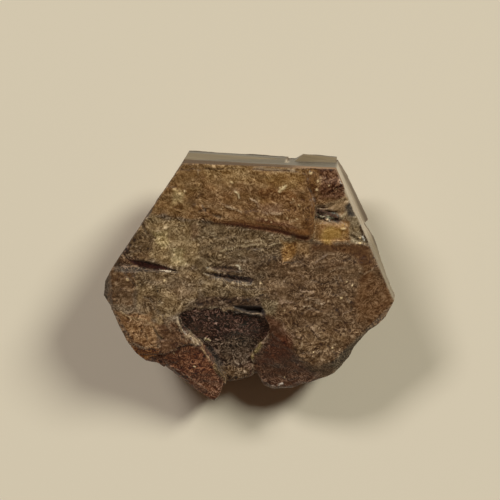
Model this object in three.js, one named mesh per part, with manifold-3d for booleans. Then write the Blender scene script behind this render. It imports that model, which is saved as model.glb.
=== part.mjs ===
// A single thick tabular bastnasite crystal, as it lies on its broken underside.
// Millimetres, +Z up. The origin is on the surface that it rests on, under the middle of its outline.
// The crystal is drawn in its own frame, whose +Z is the c axis and whose Z = 0 is the basal face,
// and is then tipped over to the way it lies.

import * as THREE from "three";
import { mergeVertices } from "three/addons/utils/BufferGeometryUtils.js";
import Module from "manifold-3d";

const wasm = await Module();
wasm.setup();

// ---- Driving dimensions ----

const TIP = THREE.MathUtils.degToRad(12.3); // lean of the c axis from vertical
const RISE_AZIMUTH = THREE.MathUtils.degToRad(115.2); // the basal face climbs towards here, from +X
const FACE_MIDDLE = [0.34, 0.16, 8.75]; // where the middle of the basal face lies
const PRISM_DEPTH = 12; // the prism is drawn this deep and then cut by the underside
const OVER = 3; // cutters run this far past what they cut
const FAR = 60; // size of a cutter that stands for a whole half space

// Outline of the basal face, clockwise. The corners of the grown hexagon come first, from the left
// end of its back left edge, and then the broken edge from the right corner round to the left one.
const GROWN_CORNERS = [
  [-13.8, 0.9],
  [-6.6, 11.5],
  [8.6, 11.0],
  [14.4, -2.4],
];
const BROKEN_EDGE = [
  [13.4, -4.3],
  [12.7, -5.0],
  [11.9, -5.5],
  [11.1, -6.4],
  [10.4, -7.3],
  [9.9, -8.4],
  [9.2, -9.3],
  [8.4, -10.1],
  [7.6, -10.5],
  [5.0, -11.4],
  [3.6, -12.3],
  [2.3, -12.6],
  [1.1, -12.0],
  [0.4, -10.6],
  [-0.3, -11.0],
  [-1.5, -11.4],
  [-3.0, -11.6],
  [-3.4, -12.9],
  [-4.0, -13.6],
  [-4.8, -13.1],
  [-9.1, -9.7],
  [-9.6, -9.3],
  [-10.8, -9.2],
  [-11.7, -8.4],
  [-12.4, -7.1],
  [-13.3, -5.5],
  [-14.2, -3.2],
  [-14.9, -2.3],
  [-14.8, -0.9],
];
const FACE_OUTLINE = [...GROWN_CORNERS, ...BROKEN_EDGE];

// Raised growth plate along the back: [x, y, width of its sloping wall] along the toe of the wall,
// from the left edge to the back edge. Its top climbs from left to right.
const PLATE_TOE = [
  [-11.2, 6.6, 0.5],
  [-8.0, 5.8, 0.6],
  [-5.0, 5.5, 0.8],
  [-2.0, 5.1, 1.0],
  [1.0, 4.75, 1.2],
  [3.4, 4.45, 1.1],
  [4.8, 3.95, 1.0],
  [5.7, 3.85, 0.7],
  [6.2, 4.2, 0.4],
  [6.4, 5.4, 0.3],
  [6.6, 7.0, 0.3],
  [6.3, 8.2, 0.3],
  [6.1, 9.4, 0.3],
  [6.1, 12.5, 0.3],
];
const PLATE_BACK = [
  [6.1, 16],
  [-16, 16],
  [-16, 7],
]; // the rest of the plate's outline, past the grown edges
const PLATE_RISE = { left: 0.12, right: 0.5 };
const PLATE_STEPS = 40; // facets along the curved toe
const PLATE_WALL = [
  [0, 0],
  [0.28, 0.52],
  [0.6, 0.86],
  [1, 1],
]; // the wall's rounded section: share of its width, share of its rise

// The plate goes on to the right of its wall as a lower shoulder, up to the pocket.
const SHOULDER_RISE = 0.24;
const SHOULDER_OUTLINE = [
  [5.8, 12.5],
  [5.8, 7.6],
  [7.4, 7.15],
  [8.5, 7.5],
  [9.6, 8.1],
  [12.5, 8.3],
  [12.5, 12.5],
];

// Pocket of matrix between the shoulder and the front of the right edge.
const POCKET_DEPTH = 0.24;
const POCKET_WALL = 0.2;
const POCKET_MIDDLE = [9.0, 5.5];
const POCKET_OUTLINE = [
  [6.3, 3.6],
  [10.2, 3.6],
  [11.7, 3.2],
  [13.5, 3.2],
  [11.5, 8.3],
  [9.6, 8.1],
  [8.5, 7.5],
  [7.4, 7.15],
  [6.6, 7.4],
  [6.4, 5.4],
];

// Grains that stand on the pocket's floor: middle, half sizes, turn and how finely faceted each is.
const POCKET_GRAINS = [
  { name: "orange grain", at: [8.2, 4.6], half: [2.1, 1.1, 0.2], turn: 1, facets: 2 },
  { name: "upper green grain", at: [7.3, 6.5], half: [0.9, 0.28, 0.18], turn: -20, facets: 1 },
  { name: "right green grain", at: [8.4, 6.2], half: [0.9, 0.34, 0.22], turn: -12, facets: 1 },
  { name: "lower green grain", at: [7.6, 5.95], half: [1.1, 0.24, 0.16], turn: -8, facets: 1 },
  { name: "grey matrix", at: [10.6, 5.4], half: [0.9, 1.9, 0.18], turn: 22, facets: 1 },
  { name: "pale matrix", at: [8.9, 7.15], half: [1.7, 0.5, 0.22], turn: 14, facets: 1 },
];

// Scooped hollow at the front, open towards the break. Its floor rolls over from the back edge,
// drops steeply to the front and levels out half way.
const HOLLOW_OUTLINE = [
  [-7.3, -4.2],
  [-6.75, -3.7],
  [-6.05, -3.5],
  [-5.6, -3.25],
  [-5.0, -3.45],
  [-4.5, -3.3],
  [-3.2, -3.2],
  [-2.65, -3.8],
  [-2.15, -3.4],
  [-1.5, -3.85],
  [0.0, -3.95],
  [1.1, -4.05],
  [1.55, -4.35],
  [1.85, -4.95],
  [1.95, -5.6],
  [1.7, -6.3],
  [1.2, -7.0],
  [0.2, -7.8],
  [-0.15, -8.6],
  [0.1, -9.6],
  [0.1, -14.0],
  [-2.7, -14.0],
  [-2.7, -10.8],
  [-3.5, -9.8],
  [-4.2, -8.6],
  [-5.1, -7.4],
  [-6.1, -6.3],
  [-7.0, -5.2],
];
const HOLLOW_EDGE = { at: [-2.0, -3.1, -0.1], azimuth: 268, drop: 13 };
const HOLLOW_SCARP = { at: [-2.0, -3.9, -0.28], azimuth: 268, drop: 25 };
const HOLLOW_FLOOR = { at: [-2.0, -7.4, -2.0], azimuth: 270, drop: 11 };

// The lobe beside the hollow rolls over and falls away from the basal face to the front left.
const LOBE_OUTLINE = [
  [1.2, -3.6],
  [2.0, -5.0],
  [1.85, -5.9],
  [1.2, -7.0],
  [0.2, -7.8],
  [-0.15, -8.6],
  [0.1, -9.6],
  [0.1, -14.0],
  [9.0, -14.0],
  [9.0, -7.0],
];
const LOBE_EDGE = { at: [1.7, -4.4, 0], azimuth: 230, drop: 13 };
const LOBE_SLOPE = { at: [1.2, -5.0, -0.18], azimuth: 230, drop: 27.5 };

// Open cleavage cracks in the basal face. Each is a short outline whose floor drops from its back
// edge to a steep front lip: the outline, a point of the back edge, and the slope of the floor.
const CRACKS = [
  {
    name: "left crack",
    outline: [
      [-15.0, 2.3],
      [-12.4, 1.95],
      [-10.2, 1.4],
      [-8.8, 1.0],
      [-7.2, 0.45],
      [-9.2, 0.5],
      [-11.1, 0.65],
      [-15.0, 0.85],
    ],
    edge: [-11.0, 1.65],
    azimuth: 258,
    drop: 27,
  },
  {
    name: "long middle crack",
    outline: [
      [-4.7, 0.36],
      [-3.0, 0.24],
      [-1.5, 0.12],
      [-0.2, -0.06],
      [0.4, -0.4],
      [0.0, -0.74],
      [-1.0, -0.58],
      [-2.0, -0.44],
      [-3.0, -0.24],
      [-3.9, 0.02],
    ],
    edge: [-1.9, 0.18],
    azimuth: 262,
    drop: 26,
  },
  {
    name: "upper middle crack",
    outline: [
      [-4.4, 0.95],
      [-3.2, 1.12],
      [-1.6, 0.98],
      [-0.7, 0.5],
      [-1.8, 0.62],
      [-3.4, 0.7],
    ],
    edge: [-2.6, 1.06],
    azimuth: 264,
    drop: 24,
  },
  {
    name: "crack behind the hollow",
    outline: [
      [-1.7, -3.08],
      [-0.4, -3.02],
      [1.0, -3.08],
      [1.3, -3.35],
      [1.0, -3.62],
      [-0.3, -3.55],
      [-1.1, -3.36],
    ],
    edge: [0.0, -3.04],
    azimuth: 268,
    drop: 36,
  },
];

// Slopes that break the basal face away near its rim. Each is a plane through a point, dropping
// towards an azimuth, and it reaches this far to either side of that point.
const RIM_BREAKS = [
  { name: "right front", at: [10.4, -6.5, 0], azimuth: 316, drop: 44, reach: 12 },
  { name: "front", at: [7.3, -9.0, 0], azimuth: 290, drop: 34, reach: 12 },
  { name: "lobe lip", at: [2.8, -12.0, -2.55], azimuth: 256, drop: 52, reach: 2.6 },
  { name: "left tip", at: [-13.9, -1.4, 0], azimuth: 182, drop: 46, reach: 12 },
  { name: "left front", at: [-12.5, -5.6, 0], azimuth: 210, drop: 36, reach: 12 },
  { name: "left front step", at: [-10.4, -7.5, -0.1], azimuth: 246, drop: 42, reach: 2.5 },
  { name: "spur bevel", at: [-6.3, -11.2, -1.3], azimuth: 232, drop: 58, reach: 2.9 },
];

// The spur between the hollow and the left front lies below the basal face and dips to its tip.
const SPUR_OUTLINE = [
  [-9.6, -8.3],
  [-8.2, -7.9],
  [-7.1, -7.2],
  [-6.1, -7.0],
  [-5.2, -6.8],
  [-4.4, -7.5],
  [-3.4, -8.9],
  [-1.8, -11.2],
  [-1.8, -14.0],
  [-4.0, -14.6],
  [-11.5, -9.6],
];
const SPUR_SLOPE = { at: [-6.3, -7.1, -0.24], azimuth: 262, drop: 20 };

// Growth steps that stand out of the grown faces, towards their feet: the corner that each is drawn
// from, the stretch along that edge, the depth where it starts to slope out and where it has done
// so, its ramp along the edge, and how far it stands out at either end.
const GROWTH_STEPS = [
  { corner: 1, from: -0.1, to: 10.2, depths: [1.8, 3.8], ramp: 0.25, out: [0.42, 0.16] },
  { corner: 1, from: 10.9, to: 15.1, depths: [3.4, 4.6], ramp: 0.8, out: [0.58, 0.34] },
  { corner: 2, from: 0.2, to: 6.7, depths: [3.2, 4.6], ramp: 1.6, out: [0.22, 0.5] },
  { corner: 2, from: 6.9, to: 13.6, depths: [2.6, 4.0], ramp: 1.6, out: [0.32, 0.06] },
];
const STEP_ROOT = 0.02; // how far behind the grown face a step starts

// Planes of the broken underside, in the lying frame: the azimuth of each, how far from the origin
// it leaves the surface, and its climb. A gentle ring round the foot and a steep one under the rim.
const UNDERSIDE = [
  { azimuth: 20, reach: 5.4, climb: 9 },
  { azimuth: 75, reach: 6.2, climb: 12 },
  { azimuth: 130, reach: 7.0, climb: 9 },
  { azimuth: 196, reach: 7.6, climb: 12 },
  { azimuth: 262, reach: 6.0, climb: 9 },
  { azimuth: 322, reach: 5.6, climb: 10 },
  { azimuth: 23, reach: 7.6, climb: 38 },
  { azimuth: 93, reach: 8.2, climb: 54 },
  { azimuth: 146, reach: 8.8, climb: 55 },
  { azimuth: 182, reach: 9.8, climb: 44 },
  { azimuth: 215, reach: 9.8, climb: 40 },
  { azimuth: 250, reach: 8.6, climb: 24 },
  { azimuth: 282, reach: 7.2, climb: 21 },
  { azimuth: 318, reach: 7.2, climb: 24 },
  { azimuth: 352, reach: 9.4, climb: 38 },
];

// Shell-shaped breaks in the wall under the broken edge: a point of the edge, the azimuth that the
// wall faces there, how far out the ball's middle is, its radius, and the wall that is left on top.
const SHELL_BREAKS = [
  { edge: [10.4, -7.8], azimuth: 322, outside: 3.5, radius: 5.0, left: 1.1 },
  { edge: [5.2, -10.9], azimuth: 282, outside: 4.0, radius: 5.5, left: 2.6 },
  { edge: [-7.4, -10.6], azimuth: 238, outside: 3.6, radius: 4.8, left: 2.4 },
  { edge: [-12.6, -6.4], azimuth: 208, outside: 3.4, radius: 4.6, left: 1.1 },
  { edge: [-14.6, -1.2], azimuth: 178, outside: 3.4, radius: 4.8, left: 1.7 },
];
const SHELL_FACETS = 10;

// ---- From three.js shapes to solids and back ----

/** A closed three.js geometry as a solid. */
function solidOf(geometry) {
  const bare = geometry.index ? geometry.toNonIndexed() : geometry.clone();
  bare.deleteAttribute("normal");
  bare.deleteAttribute("uv");
  const merged = mergeVertices(bare, 1e-4);
  return new wasm.Manifold(
    new wasm.Mesh({
      numProp: 3,
      vertProperties: merged.attributes.position.array,
      triVerts: new Uint32Array(merged.index.array),
    }),
  );
}

/** A solid as a three.js geometry with flat faces. */
function geometryOf(solid) {
  const mesh = solid.getMesh();
  const geometry = new THREE.BufferGeometry();
  geometry.setAttribute("position", new THREE.BufferAttribute(mesh.vertProperties, mesh.numProp));
  geometry.setIndex(new THREE.BufferAttribute(mesh.triVerts, 1));
  const flat = geometry.toNonIndexed();
  flat.computeVertexNormals();
  return flat;
}

/** The geometry of a straight-walled block over an outline, from one height to another. */
function blockGeometry(outline, low, high) {
  const shape = new THREE.Shape(outline.map(([x, y]) => new THREE.Vector2(x, y)));
  const geometry = new THREE.ExtrudeGeometry(shape, { depth: high - low, bevelEnabled: false });
  return geometry.translate(0, 0, low);
}

/** A straight-walled block as a solid. */
function block(outline, low, high) {
  return solidOf(blockGeometry(outline, low, high));
}

/** A solid through rings of as many points each, from its foot to its top, each point [x, y, z]. */
function loft(...rings) {
  const count = rings[0].length;
  const topStart = count * (rings.length - 1);
  const faces = [];
  const flatOf = (ring) => ring.map(([x, y]) => new THREE.Vector2(x, y));
  for (const [a, b, c] of THREE.ShapeUtils.triangulateShape(flatOf(rings[0]), [])) {
    faces.push(c, b, a);
  }
  for (const [a, b, c] of THREE.ShapeUtils.triangulateShape(flatOf(rings.at(-1)), [])) {
    faces.push(a + topStart, b + topStart, c + topStart);
  }
  for (let start = 0; start < topStart; start += count) {
    for (let i = 0; i < count; i += 1) {
      const here = start + i;
      const next = start + ((i + 1) % count);
      faces.push(here, next, next + count);
      faces.push(here, next + count, here + count);
    }
  }
  const geometry = new THREE.BufferGeometry();
  geometry.setAttribute("position", new THREE.Float32BufferAttribute(rings.flat(2), 3));
  geometry.setIndex(faces);
  return solidOf(geometry);
}

/** Everything above a plane through a point that drops towards an azimuth, within its reach. */
function aboveSlope({ at, azimuth, drop, reach }) {
  const geometry = new THREE.BoxGeometry(FAR, 2 * reach, FAR);
  geometry.translate(0, 0, FAR / 2);
  geometry.rotateY(THREE.MathUtils.degToRad(drop));
  geometry.rotateZ(THREE.MathUtils.degToRad(azimuth));
  return solidOf(geometry.translate(...at));
}

// ---- The pieces of the shape, in the crystal's own frame ----

/** The raised plate along the back, with its sloping wall. */
function growthPlate() {
  const curve = new THREE.CatmullRomCurve3(PLATE_TOE.map((p) => new THREE.Vector3(...p)));
  const [left, right] = [PLATE_TOE[0][0], PLATE_TOE.at(-1)[0]];
  const riseAt = (x) => {
    const share = THREE.MathUtils.clamp((x - left) / (right - left), 0, 1);
    return THREE.MathUtils.lerp(PLATE_RISE.left, PLATE_RISE.right, share);
  };
  const ringAt = ([widthShare, riseShare]) => {
    const ring = [];
    for (let i = 0; i <= PLATE_STEPS; i += 1) {
      const { x, y, z: wallWidth } = curve.getPoint(i / PLATE_STEPS);
      const along = curve.getTangent(i / PLATE_STEPS).setZ(0).normalize();
      const inward = wallWidth * widthShare;
      ring.push([x - along.y * inward, y + along.x * inward, riseAt(x) * riseShare]);
    }
    for (const [x, y] of PLATE_BACK) ring.push([x, y, riseAt(x) * riseShare]);
    return ring;
  };
  const rings = PLATE_WALL.map(ringAt);
  const foot = rings[0].map(([x, y]) => [x, y, -OVER]);
  return loft(foot, ...rings);
}

/** The cutter of the matrix pocket, narrower at its floor, with its grains left standing. */
function matrixPocket() {
  const middle = new THREE.Vector2(...POCKET_MIDDLE);
  const floor = POCKET_OUTLINE.map(([x, y]) => {
    const inward = middle.clone().sub(new THREE.Vector2(x, y)).setLength(POCKET_WALL);
    return [x + inward.x, y + inward.y, -POCKET_DEPTH];
  });
  const mouth = POCKET_OUTLINE.map(([x, y]) => [x, y, OVER]);
  let cutter = loft(floor, mouth);
  for (const { at, half, turn, facets } of POCKET_GRAINS) {
    const grain = new THREE.IcosahedronGeometry(1, facets).scale(...half);
    grain.rotateZ(THREE.MathUtils.degToRad(turn)).translate(...at, -POCKET_DEPTH);
    cutter = cutter.subtract(solidOf(grain));
  }
  return cutter;
}

/** The cutter of a stretch of the face that slopes away inside an outline, ever steeper. */
function slopedStretch(outline, ...slopes) {
  const above = slopes.map((slope) => aboveSlope({ ...slope, reach: FAR }));
  return block(outline, -PRISM_DEPTH, OVER).intersect(wasm.Manifold.union(above));
}

/** The cutter of the hollow. */
function hollow() {
  const floor = aboveSlope({ ...HOLLOW_FLOOR, reach: FAR });
  return slopedStretch(HOLLOW_OUTLINE, HOLLOW_EDGE, HOLLOW_SCARP).intersect(floor);
}

/** The cutter of one crack. */
function crack({ outline, edge, azimuth, drop }) {
  const floor = aboveSlope({ at: [...edge, 0], azimuth, drop, reach: FAR });
  return block(outline, -OVER, OVER).intersect(floor);
}

/** A growth step on the grown face between a corner and the next one. */
function growthStep({ corner, from, to, depths, ramp, out }) {
  const start = GROWN_CORNERS[corner];
  const end = GROWN_CORNERS[corner + 1];
  const along = new THREE.Vector2(end[0] - start[0], end[1] - start[1]).normalize();
  const ringAt = (z, [nearOut, farOut]) =>
    [
      [to, -1],
      [to, farOut],
      [from + ramp, nearOut],
      [from, -STEP_ROOT],
      [from, -1],
    ].map(([x, y]) => [
      start[0] + x * along.x - y * along.y,
      start[1] + x * along.y + y * along.x,
      z,
    ]);
  const root = ringAt(-depths[0], [-STEP_ROOT, -STEP_ROOT]);
  const full = ringAt(-depths[1], out);
  const foot = ringAt(-PRISM_DEPTH, out);
  return loft(foot, full, root);
}

/** The ball that cuts one shell-shaped break. */
function shellBreak({ edge, azimuth, outside, radius, left }) {
  const facing = THREE.MathUtils.degToRad(azimuth);
  const x = edge[0] + outside * Math.cos(facing);
  const y = edge[1] + outside * Math.sin(facing);
  const z = -left - Math.sqrt(radius ** 2 - outside ** 2);
  return solidOf(new THREE.IcosahedronGeometry(radius, SHELL_FACETS).translate(x, y, z));
}

// ---- The broken underside, in the lying frame ----

/** The geometry of everything below a plane of the underside. */
function belowUnderside({ azimuth, reach, climb }) {
  const geometry = new THREE.BoxGeometry(FAR, FAR, FAR).translate(FAR / 2, 0, -FAR / 2);
  geometry.rotateY(-THREE.MathUtils.degToRad(climb));
  return geometry.translate(reach, 0, 0).rotateZ(THREE.MathUtils.degToRad(azimuth));
}

// ---- Putting it together ----

const lying = new THREE.Group();
lying.name = "lying_crystal";
const tipAxis = new THREE.Vector3(Math.sin(RISE_AZIMUTH), -Math.cos(RISE_AZIMUTH), 0);
lying.setRotationFromAxisAngle(tipAxis, TIP);
lying.position.set(...FACE_MIDDLE);
lying.updateMatrix();
const toCrystalFrame = lying.matrix.clone().invert();

/** A geometry of the lying frame as a solid of the crystal's own frame. */
function fromLying(geometry) {
  return solidOf(geometry.applyMatrix4(toCrystalFrame));
}

/** The whole crystal as one solid. */
function crystalSolid() {
  const belowFace = new THREE.BoxGeometry(FAR, FAR, FAR).translate(0, 0, -FAR / 2);
  const belowRelief = solidOf(belowFace)
    .add(growthPlate())
    .add(block(SHOULDER_OUTLINE, -OVER, SHOULDER_RISE));
  let solid = block(FACE_OUTLINE, -PRISM_DEPTH, OVER).intersect(belowRelief);
  for (const step of GROWTH_STEPS) solid = solid.add(growthStep(step));
  const cutters = [
    matrixPocket(),
    slopedStretch(SPUR_OUTLINE, SPUR_SLOPE),
    slopedStretch(LOBE_OUTLINE, LOBE_EDGE, LOBE_SLOPE),
    hollow(),
    ...CRACKS.map(crack),
    ...RIM_BREAKS.map(aboveSlope),
    ...SHELL_BREAKS.map(shellBreak),
    ...UNDERSIDE.map((plane) => fromLying(belowUnderside(plane))),
    fromLying(new THREE.BoxGeometry(FAR, FAR, FAR).translate(0, 0, -FAR / 2)),
  ];
  for (const cutter of cutters) solid = solid.subtract(cutter);
  return solid;
}

const stone = new THREE.MeshStandardMaterial({
  name: "frosted brown bastnasite",
  color: 0x6e4a2c,
  roughness: 0.45,
  metalness: 0,
  flatShading: true,
});
const crystal = new THREE.Mesh(geometryOf(crystalSolid()), stone);
crystal.name = "bastnasite_crystal";
lying.add(crystal);

export default lying;
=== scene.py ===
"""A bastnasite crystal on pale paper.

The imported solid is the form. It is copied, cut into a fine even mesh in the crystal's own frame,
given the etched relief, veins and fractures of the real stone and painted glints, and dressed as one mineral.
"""

import logging
import math
from dataclasses import dataclass, field
from enum import Enum
from functools import cached_property

import bmesh
import bpy
import numpy as np
from mathutils import Matrix, Quaternion, Vector, noise


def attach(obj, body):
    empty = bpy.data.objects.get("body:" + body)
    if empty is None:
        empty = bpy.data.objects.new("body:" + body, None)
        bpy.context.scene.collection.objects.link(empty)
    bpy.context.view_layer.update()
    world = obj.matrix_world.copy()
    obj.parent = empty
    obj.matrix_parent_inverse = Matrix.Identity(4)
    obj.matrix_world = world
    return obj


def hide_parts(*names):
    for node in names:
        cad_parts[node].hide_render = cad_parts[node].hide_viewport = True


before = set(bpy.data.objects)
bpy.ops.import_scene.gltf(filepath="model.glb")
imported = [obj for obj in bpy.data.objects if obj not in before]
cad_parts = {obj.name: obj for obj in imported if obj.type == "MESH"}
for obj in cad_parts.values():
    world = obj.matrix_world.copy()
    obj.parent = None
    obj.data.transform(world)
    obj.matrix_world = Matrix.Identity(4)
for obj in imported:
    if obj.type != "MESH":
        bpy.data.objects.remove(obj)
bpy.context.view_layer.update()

logging.basicConfig(level=logging.INFO, format="%(message)s")
log = logging.getLogger("crystal")

MM = 0.001
NODE = "bastnasite_crystal"
EYE_GAMMA = 2.4  # linear light to the power of 1 over this is about even, as the eye sees it

Outline = tuple[tuple[float, float], ...]
Colour = np.ndarray | str
Tree = bpy.types.NodeTree
Node = bpy.types.Node


# ---- Small helpers ----


def linear(code: str) -> tuple[float, float, float, float]:
    """Turns an sRGB hex colour into linear RGBA.

    Args:
        code: Six hex digits, such as "a08040".

    Returns:
        The colour as linear red, green, blue and an alpha of 1.
    """
    parts = [int(code[i : i + 2], 16) / 255 for i in (0, 2, 4)]
    red, green, blue = (c / 12.92 if c <= 0.04045 else ((c + 0.055) / 1.055) ** 2.4 for c in parts)
    return red, green, blue, 1.0


def add_node(tree: Tree, kind: str, inputs: dict | None = None, **settings) -> Node:
    """Adds a node with its settings, and sets or links its inputs.

    Args:
        tree: The node tree.
        kind: The node's type name.
        inputs: Input name or number to a value, to the socket that feeds it, or to the node whose first
            output does.
        **settings: Properties of the node itself.

    Returns:
        The new node.
    """
    node = tree.nodes.new(kind)
    for name, value in settings.items():
        setattr(node, name, value)
    for name, value in (inputs or {}).items():
        if isinstance(value, bpy.types.Node):
            value = value.outputs[0]
        if isinstance(value, bpy.types.NodeSocket):
            tree.links.new(value, node.inputs[name])
        else:
            node.inputs[name].default_value = value
    return node


def add_object(name: str, data: bpy.types.ID) -> bpy.types.Object:
    """Puts a mesh, lamp or camera in the scene as an object of that name and returns it."""
    made = bpy.data.objects.new(name, data)
    bpy.context.scene.collection.objects.link(made)
    return made


def per_grain(size: float) -> float:
    """Returns a texture's scale from its real grain in millimetres."""
    return 1 / (size * MM)


def ease(low: float | np.ndarray, high: float | np.ndarray, value: np.ndarray) -> np.ndarray:
    """Returns 0 below low, 1 above high, and a smooth rise between them."""
    share = np.clip((value - low) / (high - low), 0, 1)
    return share * share * (3 - 2 * share)


def blend(start: Colour, end: Colour, share: np.ndarray) -> np.ndarray:
    """Mixes two colours at many points.

    Args:
        start: The colour where the share is 0, as sRGB hex or as rows of linear colour.
        end: The colour where it is 1.
        share: One number for each point.

    Returns:
        One row of linear red, green and blue for each point.
    """
    first, last = (np.array(linear(c)[:3]) if isinstance(c, str) else c for c in (start, end))
    return first + (last - first) * share[:, None]


def brighten(colour: np.ndarray, amount: np.ndarray) -> np.ndarray:
    """Returns colours made lighter or darker by an even step of grey, as the eye sees it.

    Args:
        colour: One row of linear red, green and blue for each point.
        amount: The step for each point, where 1 leads from black to white.
    """
    seen = np.clip(colour, 0, 1) ** (1 / EYE_GAMMA) + amount[:, None]
    return np.clip(seen, 0.03, 1) ** EYE_GAMMA


def distance_to_line(points: np.ndarray, line: Outline) -> np.ndarray:
    """Returns each point's distance from an open line, in millimetres."""
    nearest = np.full(len(points), np.inf)
    for a, b in zip(np.array(line)[:-1], np.array(line)[1:]):
        d = b - a
        offset = points[:, :2] - a
        share = np.clip(offset @ d / (d @ d), 0, 1)
        nearest = np.minimum(nearest, np.linalg.norm(offset - share[:, None] * d, axis=1))
    return nearest


def depth_inside(points: np.ndarray, outline: Outline) -> np.ndarray:
    """Returns how far inside an outline each point is, in millimetres, negative outside it."""
    inside = np.zeros(len(points), bool)
    for a, b in zip(np.array(outline), np.roll(outline, -1, axis=0)):
        across, up = (b - a).tolist()
        if up != 0:
            x, y = points[:, 0] - a[0], points[:, 1] - a[1]
            inside ^= ((y >= 0) != (y >= up)) & (x < y * across / up)
    edge = distance_to_line(points, (*outline, outline[0]))
    return np.where(inside, edge, -edge)


@dataclass(frozen=True)
class Grain:
    """Soft noise that runs through the stone.

    Attributes:
        size: Its grain in millimetres, one number or one for each axis.
        place: A whole number that picks another stretch of the same noise.
        octaves: How many ever finer layers are summed.
        amount: How strong it is.
    """

    size: tuple[float, float, float] | float
    place: int
    octaves: int = 1
    amount: float = 1.0

    def at(self, points: np.ndarray) -> np.ndarray:
        """Samples the noise at many points.

        Args:
            points: One row of x, y and z in millimetres for each point.

        Returns:
            About minus the amount to plus the amount for each point.
        """
        moved = points / np.array(self.size) + np.array([17.3, 5.1, 9.7]) * self.place
        return self.amount * np.array([noise.fractal(Vector(p), 0.8, 2.0, self.octaves) for p in moved])


@dataclass(frozen=True)
class Wander:
    """A soft sideways shift, so that what follows it bends as grown things do.

    Attributes:
        reach: How far it goes, in millimetres.
        size: The length over which it changes.
        place: Picks the noise for x, and the next one for y.
    """

    reach: float
    size: float
    place: int

    def at(self, points: np.ndarray) -> np.ndarray:
        """Returns the points, each moved by the shift."""
        x, y = (Grain(self.size, place).at(points) for place in (self.place, self.place + 1))
        return points + self.reach * np.stack([x, y, np.zeros(len(points))], axis=1)


# ---- The crystal's own frame ----


@dataclass(frozen=True)
class Lie:
    """How the crystal lies: its c axis leans from vertical, with the basal face up.

    In the crystal's frame x runs along the back edge, y across the basal face towards that edge, z
    out of the face, all in millimetres from the middle of the face.
    """

    lean: float = math.radians(12.3)
    rise_azimuth: float = math.radians(115.2)
    face_middle: tuple[float, float, float] = (0.34, 0.16, 8.75)

    @property
    def turn(self) -> Quaternion:
        """The rotation from upright to lying."""
        axis = Vector((math.sin(self.rise_azimuth), -math.cos(self.rise_azimuth), 0))
        return Quaternion(axis, self.lean)

    @property
    def to_world(self) -> Matrix:
        """The matrix from the crystal's millimetres to the scene's metres."""
        place = Matrix.Translation(Vector(self.face_middle) * MM)
        return place @ self.turn.to_matrix().to_4x4() @ Matrix.Scale(MM, 4)


class Zone(Enum):
    """What a stretch of the surface is, by how it formed."""

    TOP = 0
    GROWN_SIDE = 1
    BREAK = 2


# ---- What can be told apart on the basal side ----


@dataclass(frozen=True)
class Tint:
    """A stretch of the stone with its own colour.

    Attributes:
        name: What it is.
        colour: sRGB hex.
        outline: Its edge on the basal face, in the crystal's frame.
        ragged: How far its edge wanders, in millimetres.
        soft: The width of its edge, in millimetres.
        gloss: How glassy it is, from -1 for matt to 1.
        etch: How strongly it is etched and mottled, where 1 is usual.
    """

    name: str
    colour: str
    outline: Outline
    ragged: float = 0.5
    soft: float = 0.6
    gloss: float = 0.0
    etch: float = 1.0

    def share(self, inside: np.ndarray) -> np.ndarray:
        """Returns how much of the tint shows, from how far inside its outline each point is."""
        return ease(-self.soft / 2, self.soft / 2, inside)


@dataclass(frozen=True)
class Mark:
    """A line, vein, scratch or pale spot on the basal side.

    Attributes:
        colour: sRGB hex.
        line: Its course in the crystal's frame.
        width: How wide it is, in millimetres.
        lift: How far it stands proud, in millimetres, negative where it is cut in.
        gloss: How glassy it is, from -1 for matt to 1.
        strength: How much of the colour under it it hides.
    """

    colour: str
    line: Outline
    width: float = 0.2
    lift: float = 0.0
    gloss: float = 0.0
    strength: float = 1.0


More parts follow.
